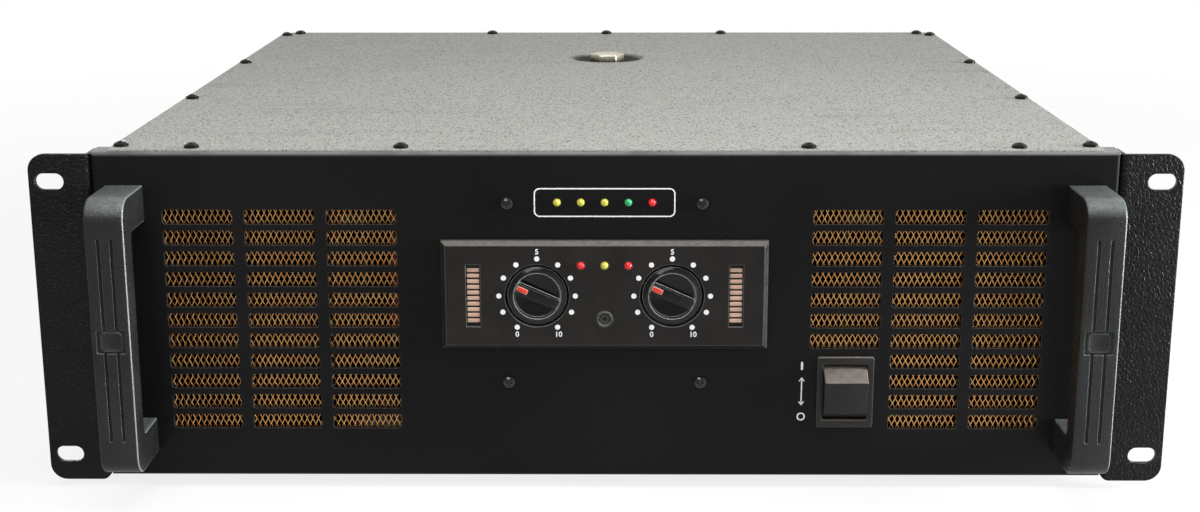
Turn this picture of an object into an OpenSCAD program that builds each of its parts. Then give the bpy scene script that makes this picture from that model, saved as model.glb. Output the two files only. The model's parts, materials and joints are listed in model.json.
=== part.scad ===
// Two-channel rack power amplifier.
// Millimetres, +Z up, front towards -Y. The origin is the middle of the footprint, on the ground.

/* [Case] */
// Width of the case and of its cover
body_w = 416; // [410:1:520]
// Depth from the front face to the rear panel's outer face
body_d = 415; // [410:1:520]
// Height of the rack ears
panel_h = 144; // [140:1:180]
// Height of the front panel
fascia_h = 143; // [139:1:179]
// How far the front panel's middle sits above the ears' middle
fascia_rise = 1.3; // [0.5:0.1:1.5]
// How far the front panel is wider than the case, on each side
fascia_lip = 7; // [6:0.5:12]
// Thickness of the front panel
fascia_t = 2; // [1.5:0.1:2.5]
// Depth of the front panel's folded edges
fascia_d = 13; // [11:0.5:16]
// Sheet thickness of the pan and the rear panel
sheet_t = 1.2; // [0.8:0.1:1.6]
// Sheet thickness of the cover
cover_t = 1; // [0.8:0.1:1.6]
// Width of the pan's and rear panel's folded-in flanges
flange_w = 15; // [12:0.5:18]
// Clear height under the rack ears
ear_clear = 4; // [3:0.5:8]
// Diameter of the rubber feet
foot_d = 24; // [18:1:32]

/* [Rack ears] */
// Width of an ear beyond the front panel
ear_w = 26.3; // [22:0.1:32]
// Thickness of an ear
ear_t = 2; // [1.5:0.1:3]
// Depth of the ear's folded flange
ear_d = 14; // [12:0.5:20]
// Radius of the ear's outer corners
ear_r = 7; // [3:0.5:9]
// Length of a rack slot
slot_l = 12; // [9:0.5:14]
// Height of a rack slot
slot_h = 7; // [6:0.5:8]
// Distance of the slots' middle from the ear's outer edge
slot_in = 8.75; // [8:0.05:10]
// Distance of the slots' middle from the ear's top and bottom edges
slot_end = 11.675; // [9:0.025:14]

/* [Handles] */
// Height of a handle
handle_h = 118; // [100:1:130]
// Width of a handle
handle_w = 16; // [13:0.5:18]
// How far a handle reaches in front of the panel
handle_reach = 33; // [30:0.5:42]
// Depth of the handle's grip bar
grip_d = 11.5; // [9:0.5:14]
// Height of each handle post
post_h = 15.5; // [12:0.5:18]
// Distance of the handle's middle from the front panel's side
handle_in = 13.5; // [12.5:0.5:15]

/* [Vents] */
// Length of a vent slot
vent_l = 29.5; // [24:0.5:31]
// Height of a vent slot
vent_h = 6.2; // [4:0.1:6.5]
// Distance between vent columns
vent_px = 34.5; // [33:0.5:36]
// Distance between vent rows
vent_pz = 9.04; // [8:0.02:9.5]
// Number of vent rows
vent_rows = 11; // [7:1:11]
// Distance of the middle vent column from the front panel's side
vent_in = 78.1; // [76:0.1:84]
// Thickness of the mesh behind the vents
mesh_t = 1; // [0.6:0.1:1.5]

/* [Controls] */
// Width of the control plate
plate_w = 138; // [134:1:144]
// Height of the control plate
plate_h = 47; // [45:1:50]
// How far the control plate stands proud
plate_d = 4; // [3:0.5:6]
// Height of the control plate's middle above the ears' middle
plate_up = 12; // [10:0.5:16]
// Diameter of a volume knob
knob_d = 25.4; // [22:0.2:25.8]
// Distance of each knob from the middle
knob_x = 28.5; // [27:0.5:30]
// Diameter of a pot's shaft
shaft_d = 6; // [5:0.1:6.2]
// Distance of each level meter from the middle
meter_x = 55.5; // [54:0.5:57]
// Width of a level meter's window
meter_w = 6; // [5:0.5:7]
// Height of a level meter's window
meter_h = 27; // [22:0.5:30]
// Diameter of a lamp
lamp_d = 3.2; // [3:0.1:3.6]
// Distance between lamps
lamp_p = 10; // [9:0.5:12]
// Diameter of the push button
button_d = 7.2; // [6:0.1:8]
// Width of the power switch's bezel
switch_w = 24.2; // [24:0.1:26]
// Height of the power switch's bezel
switch_h = 31.4; // [31:0.1:34]
// Angle that the power rocker tips through

/* [Cover] */
// Diameter of the pressed dish in the cover
dish_d = 43; // [38:1:48]
// Depth of the dish
dish_depth = 6; // [4:0.5:7]
// Distance of the dish's middle from the rear
dish_in = 122; // [118:1:130]
// Diameter of the transformer's centre bolt
bolt_d = 10; // [8:0.5:12]

/* [Inside] */
// Outer diameter of the ring-core transformer
core_d = 170; // [150:1:176]
// Height of the wound transformer
core_h = 104; // [90:1:108]
// Length of a heatsink
sink_l = 240; // [200:1:250]
// Height of a heatsink
sink_h = 118; // [100:1:124]
// Diameter of a filter capacitor
cap_d = 35; // [30:1:38]
// Height of a filter capacitor
cap_h = 60; // [40:1:80]
// Size of a fan's square frame
fan_s = 80; // [76:1:80]
// Depth of a fan
fan_t = 25; // [20:1:32]
// Distance of a fan's middle from the case's side
fan_in = 50; // [46:1:54]

/* [Clearances] */
// Clearance round a turning shaft, in the radius
turn_c = 0.05; // [0.03:0.01:0.1]
// Clearance between panels and what fits through them
fit_c = 0.3; // [0.2:0.05:0.4]
// Clearance between moving pieces and their housings
move_c = 0.15; // [0.1:0.01:0.2]

/* [Hidden] */
$fn = 48;

// Case, worked out
fascia_w = body_w + 2 * fascia_lip;
rack_w = fascia_w + 2 * ear_w;
panel_cz = ear_clear + panel_h / 2;
fascia_z0 = panel_cz + fascia_rise - fascia_h / 2;
fascia_z1 = fascia_z0 + fascia_h;
base_z = fascia_z0 + fascia_t;
floor_z = base_z + sheet_t;
lid_z = fascia_z1;
lid_top = lid_z + cover_t;
fold_r = 2.2;
side_y0 = fascia_d + 0.5;
inner_x = body_w / 2 - sheet_t;
rear_y = body_d - sheet_t;
guard_t = 3;
guard_lug_t = 1.6;
breaker_nut_t = 4;
breaker_cap = 2;
rear_reach = breaker_nut_t + breaker_cap;
y_mid = (body_d + rear_reach - handle_reach) / 2;

// Pan-head screws of the case
screw_d = 4;
screw_head_d = 6.4;
screw_head_h = 2.2;
screw_l = 8;
cover_side_in = 4;
cover_front_y = 6;
cover_front_x = [-173.5, -85.5, 85.5, 173.5];
side_screw_y0 = 9.4;
side_screw_end = 15;
cover_side_y = [for (i = [0:3]) side_screw_y0 + i * (body_d - side_screw_end - side_screw_y0) / 3];
cover_rear_y = body_d - 6;
cover_rear_x = [-197, -74, -1, 72, 197];
rear_side_z = [floor_z + 22, lid_z - 22];
foot_x = body_w / 2 - 32;
foot_y = [42, body_d - 40];
foot_web = 4;
ear_screw_y = ear_d - 6;
ear_screw_z = [for (k = [-1:1]) panel_cz + k * (panel_h / 2 - 26)];

// Handles, worked out
handle_x = fascia_w / 2 - handle_in;
post_z = (handle_h - post_h) / 2;
handle_bore_d = 5;
handle_bore_l = 14;

// Vents, worked out
vent_x = fascia_w / 2 - vent_in;
vent_cols = [vent_x - vent_px, vent_x, vent_x + vent_px];
switch_rows = 7;
mesh_edge = 3.6;
mesh_x0 = vent_cols[0] - vent_l / 2 - mesh_edge;
mesh_x1 = vent_cols[2] + vent_l / 2 + mesh_edge;
mesh_h = (vent_rows - 1) * vent_pz + vent_h + 2 * mesh_edge;

// Controls, worked out
plate_cz = panel_cz + plate_up;
plate_t = 2;
plate_bevel = 1.8;
window_w = 126;
window_h = 36;
cup_d = knob_d + 1.8;
cup_floor = 5;
knob_back = -0.4;
knob_front = -(plate_d + 1.5);
dish_r = 10.6;
dish_floor = -3;
bar_w = 4.4;
hub_d = 12;
hub_y = 2.4;
shaft_front = -2;
pointer_angle = 24;
pot_front = cup_floor + plate_t;
bush_d = 7;
bush_front = hub_y + 0.4;
shaft_end = pot_front + 5;
board_y = 15;
board_t = 1.6;
board_w = 124;
board_up = 57;
board_down = 33;
spacer_d = 6;
stud_x = 41;
stud_up = 51.2;
stud_down = -27.2;
stud_hole_d = 3.2;
lamp_row_up = 51.5;
peak_row_up = 25.2;
row_tip = -1.6;
peak_tip = -plate_d - 1.4;
button_up = 1.8;
button_travel = 1.2;
switch_reach = 5;
window_fit = 0.2;

// Power switch, worked out
switch_x = vent_cols[0] + 0.6;
switch_cz = panel_cz - 31.4;
bezel_t = 2;
switch_body_w = 21.6;
switch_body_h = 28.6;
switch_body_d = 27;
rocker_w = 18.6;
pivot_y = 4;
rocker_r = 12.2;
well_h = 2 * (rocker_r + move_c + 0.1);
well_d = 18;
trunnion_d = 3;
trunnion_l = 0.8;

// Transformer stack, worked out
core_y = body_d - dish_in;
pad_t = 3;
core_hole_d = 44;
dish_floor_z = lid_top - dish_depth;
dish_bottom_z = dish_floor_z - cover_t;
core_z0 = floor_z + pad_t;
core_z1 = core_z0 + core_h;
clamp_t = 3;
top_pad_z = core_z1 + pad_t;
clamp_z1 = top_pad_z + clamp_t;
bolt_head_h = 6.4;
bolt_af = 17;
washer_t = 2;
washer_d = 21;
nut_h = 8;

// Heatsinks and what is on them
sink_y0 = 45;
sink_in = 14;
sink_x1 = body_w / 2 - sink_in;
sink_x0 = sink_x1 - 76;
sink_base = 6;
fin_t = 2;
fin_n = 12;
device_n = 8;
device = [5, 16, 20];
driver_gap = 9;
driver_x = sink_x0 - driver_gap - board_t;
driver_z0 = floor_z + 12;
driver_h = 100;

// Supply board and capacitors
supply_z = floor_z + 12;
supply_w = 170;
supply_l = 125;
supply_y0 = core_y - core_d / 2 - supply_l - 15;
cap_px = 41;
cap_py = 52;

// Rear connectors
rear_board_y = rear_y - 27;
row_top = floor_z + 111;
row_mid = floor_z + 68;
row_low = floor_z + 28;
flange_plate = 2;
d_flange = [26, 31];
d_body = 23.6;
d_hole = 24;
input_x = 88;
latch_w = 7;
latch_h = 4;
latch_up = 12.6;
jack_x = 54;
jack_neck = 11;
filter_x = 20;
filter_hole = [12, 6];
slider_w = 3.6;
slider_h = 3;
slider_travel = 4;
speaker_px = 34;
inlet_x = 62;
inlet_w = 47;
inlet_h = 26;
inlet_in = [32, 22];
breaker_x = -52;
breaker_neck = 12;
button_stem_d = 7;
fan_x = body_w / 2 - fan_in;
fan_cz = floor_z + 62;
fan_y0 = rear_y - fan_t;
rotor_r = fan_s / 2 - 4;
rotor_c = 1;
fan_hub_d = 34;
fan_pin_d = 3;
fan_screw_p = fan_s - 8.5;

// Wiring
wire_d = 2.6;
wire_x = 95.5;
wire_z = floor_z + 4;
ribbon_t = 1.2;
ribbon_x = [-94, -74];
ribbon_z = lid_z - 9;
plug_z = row_top + 5;
plug_d = 8;

module place() {
    translate([0, -y_mid, 0]) children();
}

module both() {
    children();
    mirror([1, 0, 0]) children();
}

module block(x, y, z) {
    translate([x[0], y[0], z[0]]) cube([x[1] - x[0], y[1] - y[0], z[1] - z[0]]);
}

// Extrudes a Y-Z outline from x0 to x1
module along_x(x0, x1) {
    translate([x0, 0, 0]) rotate([90, 0, 90]) linear_extrude(x1 - x0) children();
}

// Extrudes an X-Z outline from y0 to y1
module along_y(y0, y1) {
    translate([0, y1, 0]) rotate([90, 0, 0]) linear_extrude(y1 - y0) children();
}

module along_z(z0, z1) {
    translate([0, 0, z0]) linear_extrude(z1 - z0) children();
}

module rod_y(x, z, y0, y1, d) {
    translate([x, y1, z]) rotate([90, 0, 0]) cylinder(h = y1 - y0, d = d);
}

module rod_z(x, y, z0, z1, d) {
    translate([x, y, z0]) cylinder(h = z1 - z0, d = d);
}

module hex_y(x, z, y0, y1, af) {
    translate([x, y1, z]) rotate([90, 0, 0]) cylinder(h = y1 - y0, d = af / cos(30), $fn = 6);
}

module hex_z(x, y, z0, z1, af) {
    translate([x, y, z0]) cylinder(h = z1 - z0, d = af / cos(30), $fn = 6);
}

module round_rect(w, h, r) {
    square([w - 2 * r, h], center = true);
    square([w, h - 2 * r], center = true);
    for (sx = [-1, 1], sz = [-1, 1])
        translate([sx * (w / 2 - r), sz * (h / 2 - r)]) circle(r);
}

// A strip of depth d whose two front corners, at y = 0, are round
module front_round(w, d, r) {
    translate([-w / 2, r]) square([w, d - r]);
    translate([-w / 2 + r, 0]) square([w - 2 * r, r]);
    for (s = [-1, 1])
        translate([s * (w / 2 - r), r]) circle(r);
}

// Pan-head screw standing on z = 0 with its shank downwards
module pan_screw(d, head_d, head_h, l) {
    cut = 0.8;
    difference() {
        union() {
            translate([0, 0, -l]) cylinder(h = l + 0.2, d = d);
            intersection() {
                cylinder(h = head_h, d = head_d);
                translate([0, 0, head_h - head_d * 0.8]) sphere(d = head_d * 1.6);
            }
        }
        for (a = [0, 90])
            rotate([0, 0, a])
                translate([-head_d * 0.28, -cut / 2, head_h * 0.45]) cube([head_d * 0.56, cut, head_h]);
    }
}

module screw_back(x, z, y, d, head_d, head_h, l) {
    translate([x, y, z]) rotate([-90, 0, 0]) pan_screw(d, head_d, head_h, l);
}

module screw_front(x, z, y, d, head_d, head_h, l) {
    translate([x, y, z]) rotate([90, 0, 0]) pan_screw(d, head_d, head_h, l);
}

// ---------- Case ----------

module fascia_block(inset, depth, r) {
    w = fascia_w - 2 * inset;
    h = fascia_h - 2 * inset;
    translate([0, inset, 0])
        intersection() {
            along_z(fascia_z0 + inset, fascia_z1 - inset) front_round(w, depth, r);
            along_x(-w / 2, w / 2)
                translate([0, (fascia_z0 + fascia_z1) / 2])
                    rotate(-90) mirror([1, 0]) front_round(h, depth, r);
        }
}

module vent_slots(side) {
    for (c = [0:2], i = [0:vent_rows - 1])
        if (side < 0 || c > 0 || i < switch_rows)
            translate([side * vent_cols[c], panel_cz + ((vent_rows - 1) / 2 - i) * vent_pz])
                round_rect(vent_l, vent_h, 1.2);
}

module fascia_holes() {
    vent_slots(-1);
    vent_slots(1);
    translate([0, plate_cz]) square([window_w, window_h], center = true);
    translate([switch_x, switch_cz])
        square([switch_body_w + 2 * fit_c, switch_body_h + 2 * fit_c], center = true);
    for (i = [-2:2])
        translate([i * lamp_p, panel_cz + lamp_row_up]) circle(d = lamp_d + 2 * move_c);
    for (s = [-1, 1], up = [stud_up, stud_down])
        translate([s * stud_x, panel_cz + up]) circle(d = stud_hole_d);
    for (s = [-1, 1], t = [-1, 1])
        translate([s * handle_x, panel_cz + t * post_z]) circle(d = handle_bore_d + 0.4);
}

module fascia() {
    color("#17181a") place() difference() {
        fascia_block(0, fascia_d, fold_r);
        fascia_block(fascia_t, fascia_d, fold_r - fascia_t + 0.3);
        along_y(-1, fascia_t + 1) fascia_holes();
        for (x = cover_front_x)
            rod_z(x, cover_front_y, fascia_z1 - 3, fascia_z1 + 1, screw_d);
        for (s = [-1, 1])
            rod_z(s * (body_w / 2 - cover_side_in), cover_side_y[0], fascia_z1 - 3, fascia_z1 + 1, screw_d);
        for (s = [-1, 1], z = ear_screw_z)
            translate([s * (fascia_w / 2 - 3), ear_screw_y, z]) rotate([0, 90, 0])
                cylinder(h = 6, d = screw_d, center = true);
    }
}

module ear_outline() {
    x0 = fascia_w / 2;
    low_r = 4;
    difference() {
        translate([x0 + ear_w / 2, panel_cz]) round_rect(ear_w, panel_h, ear_r);
        for (t = [-1, 1])
            translate([rack_w / 2 - slot_in, panel_cz + t * (panel_h / 2 - slot_end)])
                rack_slot();
    }
    translate([x0, ear_clear + low_r]) square([ear_r + 1, panel_h - low_r]);
    translate([x0 + low_r, ear_clear]) square([ear_r + 1, low_r]);
    translate([x0 + low_r, ear_clear + low_r]) circle(low_r);
}

module rack_slot() {
    square([slot_l - slot_h, slot_h], center = true);
    for (s = [-1, 1])
        translate([s * (slot_l - slot_h) / 2, 0]) circle(d = slot_h);
}

module ear_fold() {
    r = ear_t + 0.6;
    x0 = fascia_w / 2;
    difference() {
        union() {
            translate([x0 + r, 0]) square([ear_w - r, ear_t]);
            translate([x0, r]) square([ear_t, ear_d - r]);
            intersection() {
                translate([x0 + r, r]) circle(r);
                translate([x0, 0]) square(r + 0.01);
            }
        }
        translate([x0 + r, r]) circle(r - ear_t);
    }
}

module ear() {
    difference() {
        intersection() {
            along_z(ear_clear, ear_clear + panel_h) ear_fold();
            along_y(-1, ear_d + 1) ear_outline();
        }
        for (z = ear_screw_z)
            translate([fascia_w / 2 + ear_t / 2, ear_screw_y, z]) rotate([0, 90, 0])
                cylinder(h = ear_t + 1, d = screw_d + 0.4, center = true);
    }
}

module ear_right() {
    color("#141416") place() ear();
}

module ear_left() {
    color("#141416") place() mirror([1, 0, 0]) ear();
}

module ear_screws() {
    color("#202022") place() both()
        for (z = ear_screw_z)
            translate([fascia_w / 2 + ear_t, ear_screw_y, z]) rotate([0, 90, 0])
                pan_screw(screw_d, screw_head_d + 0.6, screw_head_h, ear_t + fascia_t + 1);
}

module handle() {
    badge = [12, 10];
    groove_w = 1.3;
    groove_p = 5.3;
    groove_deep = 0.9;
    groove_end = 43.3;
    gap_r = 3;
    corner_r = 9;
    gap_h = handle_h - 2 * post_h;
    difference() {
        translate([0, -handle_reach, panel_cz])
            along_x(-handle_w / 2, handle_w / 2)
                difference() {
                    rotate(-90) mirror([1, 0]) front_round(handle_h, handle_reach, corner_r);
                    translate([grip_d, 0])
                        rotate(-90) mirror([1, 0]) front_round(gap_h, handle_reach, gap_r);
                }
        for (t = [-1, 1]) {
            rod_y(0, panel_cz + t * post_z, -handle_bore_l, 1, handle_bore_d);
            for (s = [-1, 1])
                block([s * groove_p / 2 - groove_w / 2, s * groove_p / 2 + groove_w / 2],
                    [-handle_reach - 1, -handle_reach + groove_deep],
                    [panel_cz + min(t * groove_end, t * badge[1] / 2),
                     panel_cz + max(t * groove_end, t * badge[1] / 2)]);
        }
        translate([0, 0, panel_cz])
            along_y(-handle_reach - 1, -handle_reach + groove_deep)
                round_rect(badge[0] - 2, badge[1] - 2, 1.5);
    }
}

module handle_left() {
    color("#33383a") place() translate([-handle_x, 0, 0]) handle();
}

module handle_right() {
    color("#33383a") place() translate([handle_x, 0, 0]) handle();
}

module handle_screws() {
    head_h = 3;
    color("#b9b7b0") place() both()
        for (t = [-1, 1])
            screw_back(handle_x, panel_cz + t * post_z, fascia_t, handle_bore_d - 0.2, 9, head_h,
                handle_bore_l);
}

module vent_meshes() {
    color("#c98a2b") place() {
        along_y(fascia_t, fascia_t + mesh_t)
            translate([-(mesh_x0 + mesh_x1) / 2, panel_cz])
                square([mesh_x1 - mesh_x0, mesh_h], center = true);
        along_y(fascia_t, fascia_t + mesh_t)
            difference() {
                translate([(mesh_x0 + mesh_x1) / 2, panel_cz])
                    square([mesh_x1 - mesh_x0, mesh_h], center = true);
                translate([mesh_x0 - 1, panel_cz - mesh_h])
                    square([vent_cols[0] + vent_px / 2 - mesh_x0 + 1,
                            mesh_h + ((vent_rows - 1) / 2 - switch_rows + 0.5) * vent_pz]);
            }
    }
}

module chassis_pan() {
    w = body_w / 2;
    color("#8d8f90") place() difference() {
        union() {
            block([-w, w], [fascia_t + 0.8, body_d], [base_z, floor_z]);
            both() {
                block([inner_x, w], [side_y0, body_d], [base_z, lid_z]);
                block([w - flange_w, w], [side_y0, rear_y - 0.1], [lid_z - sheet_t, lid_z]);
            }
        }
        for (s = [-1, 1], y = foot_y)
            rod_z(s * foot_x, y, base_z - 1, floor_z + 1, screw_d);
        for (s = [-1, 1], y = cover_side_y)
            if (y > side_y0)
                rod_z(s * (w - cover_side_in), y, lid_z - 3, lid_z + 1, screw_d);
        for (x = [cover_rear_x[0], cover_rear_x[4]])
            rod_z(x, cover_rear_y, lid_z - 3, lid_z + 1, screw_d);
        for (s = [-1, 1], z = rear_side_z)
            translate([s * w, rear_y - 8, z]) rotate([0, 90, 0])
                cylinder(h = 6, d = screw_d + 0.3, center = true);
    }
}

module d_cutout(x, z) {
    translate([x, z]) circle(d = d_hole + 2 * fit_c);
}

module rear_cutouts() {
    for (s = [-1, 1]) {
        translate([s * fan_x, fan_cz]) circle(r = fan_s / 2 - 2);
        for (i = [-1, 1], k = [-1, 1])
            translate([s * fan_x + i * fan_screw_p / 2, fan_cz + k * fan_screw_p / 2])
                circle(d = screw_d + 0.4);
        d_cutout(s * input_x, row_top);
        translate([s * input_x, row_top + latch_up]) square([latch_w + 1, latch_h + 1], center = true);
        translate([s * jack_x, row_top]) circle(d = jack_neck + fit_c);
        translate([s * filter_x, row_top])
            square([filter_hole[0], filter_hole[1]], center = true);
    }
    for (i = [-1:1])
        d_cutout(i * speaker_px, row_mid);
    translate([inlet_x, row_low])
        square([inlet_in[0] + 2 * fit_c, inlet_in[1] + 2 * fit_c], center = true);
    translate([breaker_x, row_low]) circle(d = breaker_neck + 2 * fit_c);
}

module rear_panel() {
    x = inner_x - 0.1;
    color("#202123") place() difference() {
        union() {
            block([-x, x], [rear_y, body_d], [floor_z, lid_z]);
            block([-x + flange_w, x - flange_w], [body_d - flange_w, body_d], [lid_z - sheet_t, lid_z]);
            block([-x, x], [body_d - 12, body_d], [floor_z, floor_z + sheet_t]);
            both() block([x - sheet_t, x], [body_d - 12, body_d], [floor_z, lid_z - sheet_t - 0.3]);
        }
        along_y(rear_y - 0.5, body_d + 1) rear_cutouts();
        for (xs = cover_rear_x)
            rod_z(xs, cover_rear_y, lid_z - 3, lid_z + 1, screw_d);
        for (s = [-1, 1], z = rear_side_z)
            translate([s * x, rear_y - 8, z]) rotate([0, 90, 0])
                cylinder(h = 6, d = screw_d, center = true);
    }
}

// Half outline of the dished part of the cover, radius against height
function dish_line(z_off) = [
    [bolt_d / 2 + 0.5, dish_floor_z + z_off], [washer_d / 2 + 1.5, dish_floor_z + z_off],
    [dish_d / 2 - 3, lid_top - 1 + z_off], [dish_d / 2, lid_top + z_off]
];

module top_cover() {
    w = body_w / 2;
    lower = dish_line(-cover_t);
    color("#a3a199") place() difference() {
        union() {
            difference() {
                block([-w, w], [fold_r, body_d], [lid_z, lid_top]);
                rod_z(0, core_y, lid_z - 1, lid_top + 1, dish_d);
            }
            translate([0, core_y, 0]) rotate_extrude()
                polygon(concat(dish_line(0), [[dish_d / 2 + 0.01, lid_top], [dish_d / 2 + 0.01, lid_z]],
                    [for (i = [3:-1:0]) lower[i]]));
        }
        for (x = cover_front_x)
            rod_z(x, cover_front_y, lid_z - 1, lid_top + 1, screw_d + 0.4);
        for (s = [-1, 1], y = cover_side_y)
            rod_z(s * (w - cover_side_in), y, lid_z - 1, lid_top + 1, screw_d + 0.4);
        for (x = cover_rear_x)
            rod_z(x, cover_rear_y, lid_z - 1, lid_top + 1, screw_d + 0.4);
    }
}

module case_screws() {
    w = body_w / 2;
    d = screw_d - 0.1;
    color("#141414") place() {
        for (x = cover_front_x)
            translate([x, cover_front_y, lid_top]) pan_screw(d, screw_head_d, screw_head_h, screw_l);
        for (s = [-1, 1], y = cover_side_y)
            translate([s * (w - cover_side_in), y, lid_top])
                pan_screw(d, screw_head_d, screw_head_h, screw_l);
        for (x = cover_rear_x)
            translate([x, cover_rear_y, lid_top]) pan_screw(d, screw_head_d, screw_head_h, screw_l);
        both()
            for (z = rear_side_z)
                translate([w, rear_y - 8, z]) rotate([0, 90, 0])
                    pan_screw(d, screw_head_d, screw_head_h, screw_l);
        for (s = [-1, 1], y = foot_y)
            translate([s * foot_x, y, base_z - foot_web]) mirror([0, 0, 1])
                pan_screw(d, screw_head_d, screw_head_h, foot_web + 4);
        for (s = [-1, 1], i = [-1, 1], k = [-1, 1])
            translate([s * fan_x + i * fan_screw_p / 2, body_d + guard_lug_t, fan_cz + k * fan_screw_p / 2])
                rotate([-90, 0, 0]) pan_screw(d, screw_head_d + 0.6, guard_t - guard_lug_t, fan_t);
    }
}

module rubber_feet() {
    color("#1a1a1a") place()
        for (s = [-1, 1], y = foot_y)
            translate([s * foot_x, y, 0]) difference() {
                cylinder(h = base_z, d = foot_d);
                translate([0, 0, -1]) cylinder(h = base_z - foot_web + 1, d = screw_head_d + 2);
                cylinder(h = base_z + 1, d = screw_d + 0.2);
            }
}

// ---------- Controls ----------

module plate_shell() {
    h = plate_h / 2;
    w = plate_w / 2;
    b = plate_bevel;
    intersection() {
        along_x(-w, w) translate([0, plate_cz])
            polygon([[0, -h], [-plate_d + b, -h], [-plate_d, -h + b], [-plate_d, h - b],
                     [-plate_d + b, h], [0, h]]);
        along_z(plate_cz - h, plate_cz + h)
            polygon([[-w, 0], [-w, -plate_d + b], [-w + b, -plate_d], [w - b, -plate_d],
                     [w, -plate_d + b], [w, 0]]);
    }
}

module control_plate() {
    rim = 3;
    color("#26272a") place() difference() {
        union() {
            difference() {
                plate_shell();
                block([-plate_w / 2 + rim, plate_w / 2 - rim], [-plate_d + plate_t, 1],
                    [plate_cz - plate_h / 2 + rim, plate_cz + plate_h / 2 - rim]);
            }
            for (s = [-1, 1])
                rod_y(s * knob_x, plate_cz, -plate_d + 0.5, cup_floor + plate_t, cup_d + 2 * plate_t);
        }
        for (s = [-1, 1]) {
            rod_y(s * knob_x, plate_cz, -plate_d - 1, cup_floor, cup_d);
            rod_y(s * knob_x, plate_cz, 0, cup_floor + plate_t + 1, 7.2);
            block([s * meter_x - meter_w / 2, s * meter_x + meter_w / 2], [-plate_d - 1, 0],
                [plate_cz - meter_h / 2, plate_cz + meter_h / 2]);
        }
        for (i = [-1:1])
            rod_y(i * lamp_p, panel_cz + peak_row_up, -plate_d - 1, 0, lamp_d + 2 * move_c);
        rod_y(0, panel_cz + button_up, -plate_d - 1, 0, button_d + 2 * move_c);
    }
}

module lamp(x, z, y_tip) {
    lead = 0.5;
    body_l = 4;
    rod_y(x, z, y_tip + lamp_d / 2, y_tip + lamp_d / 2 + body_l, lamp_d);
    translate([x, y_tip + lamp_d / 2, z]) intersection() {
        sphere(d = lamp_d);
        translate([-lamp_d, -lamp_d, -lamp_d]) cube([2 * lamp_d, lamp_d + 0.2, 2 * lamp_d]);
    }
    for (s = [-1, 1])
        block([x + s * 1.1 - lead / 2, x + s * 1.1 + lead / 2],
            [y_tip + lamp_d / 2 + body_l - 0.5, board_y], [z - lead / 2, z + lead / 2]);
}

module lamps_yellow() {
    color("#d8c93a") place() {
        for (i = [-2:0])
            lamp(i * lamp_p, panel_cz + lamp_row_up, row_tip);
        lamp(0, panel_cz + peak_row_up, peak_tip);
    }
}

module lamp_green() {
    color("#2f9e5b") place() lamp(lamp_p, panel_cz + lamp_row_up, row_tip);
}

module lamps_red() {
    color("#d4202a") place() {
        lamp(2 * lamp_p, panel_cz + lamp_row_up, row_tip);
        for (i = [-1, 1])
            lamp(i * lamp_p, panel_cz + peak_row_up, peak_tip);
    }
}

module meter_blocks() {
    sunk = 0.9;
    color("#b8917d") place()
        for (s = [-1, 1]) {
            block([s * meter_x - meter_w / 2 + window_fit, s * meter_x + meter_w / 2 - window_fit],
                [-plate_d + sunk, 0],
                [plate_cz - meter_h / 2 + window_fit, plate_cz + meter_h / 2 - window_fit]);
            block([s * meter_x - meter_w / 2 - 1.5, s * meter_x + meter_w / 2 + 1.5],
                [-plate_d + plate_t, board_y], [plate_cz - meter_h / 2 - 2, plate_cz + meter_h / 2 + 2]);
        }
}

module control_board() {
    back = board_y + board_t;
    button_half = 3;
    socket = [11, 8, -12];
    chip = [10, 3, 6];
    chip_x = 34;
    color("#1f6b43") place() {
        difference() {
            block([-board_w / 2, board_w / 2], [board_y, board_y + board_t],
                [panel_cz - board_down, panel_cz + board_up]);
            for (s = [-1, 1], up = [stud_up, stud_down])
                rod_y(s * stud_x, panel_cz + up, board_y - 1, board_y + board_t + 1, stud_hole_d);
        }
        block([-button_half, button_half], [board_y - switch_reach, board_y],
            [panel_cz + button_up - button_half, panel_cz + button_up + button_half]);
        block([-socket[0], socket[0]], [back, back + socket[1]],
            [panel_cz + socket[2], panel_cz + socket[2] + socket[1]]);
        for (s = [-1, 1], i = [0, 1])
            block([s * chip_x - chip[0] / 2, s * chip_x + chip[0] / 2], [back, back + chip[1]],
                [panel_cz + 12 + i * 14, panel_cz + 12 + i * 14 + chip[2]]);
    }
}

module board_spacers() {
    color("#c9c6bd") place()
        for (s = [-1, 1], up = [stud_up, stud_down])
            difference() {
                hex_y(s * stud_x, panel_cz + up, fascia_t, board_y, spacer_d);
                rod_y(s * stud_x, panel_cz + up, fascia_t - 1, board_y + 1, 3);
            }
}

module fascia_screws() {
    d = 2.9;
    l = 8;
    color("#1b1b1d") place()
        for (s = [-1, 1], up = [stud_up, stud_down]) {
            screw_front(s * stud_x, panel_cz + up, 0, d, 5, 1.8, fascia_t + l / 2);
            screw_back(s * stud_x, panel_cz + up, board_y + board_t, d, 5, 1.8, board_t + l / 2);
        }
}

module knob_grip() {
    bar_l = 2 * dish_r + 1;
    rotate([0, pointer_angle, 0])
        block([-bar_l / 2, bar_l / 2], [knob_front, dish_floor + 0.5], [-bar_w / 2, bar_w / 2]);
}

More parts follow.
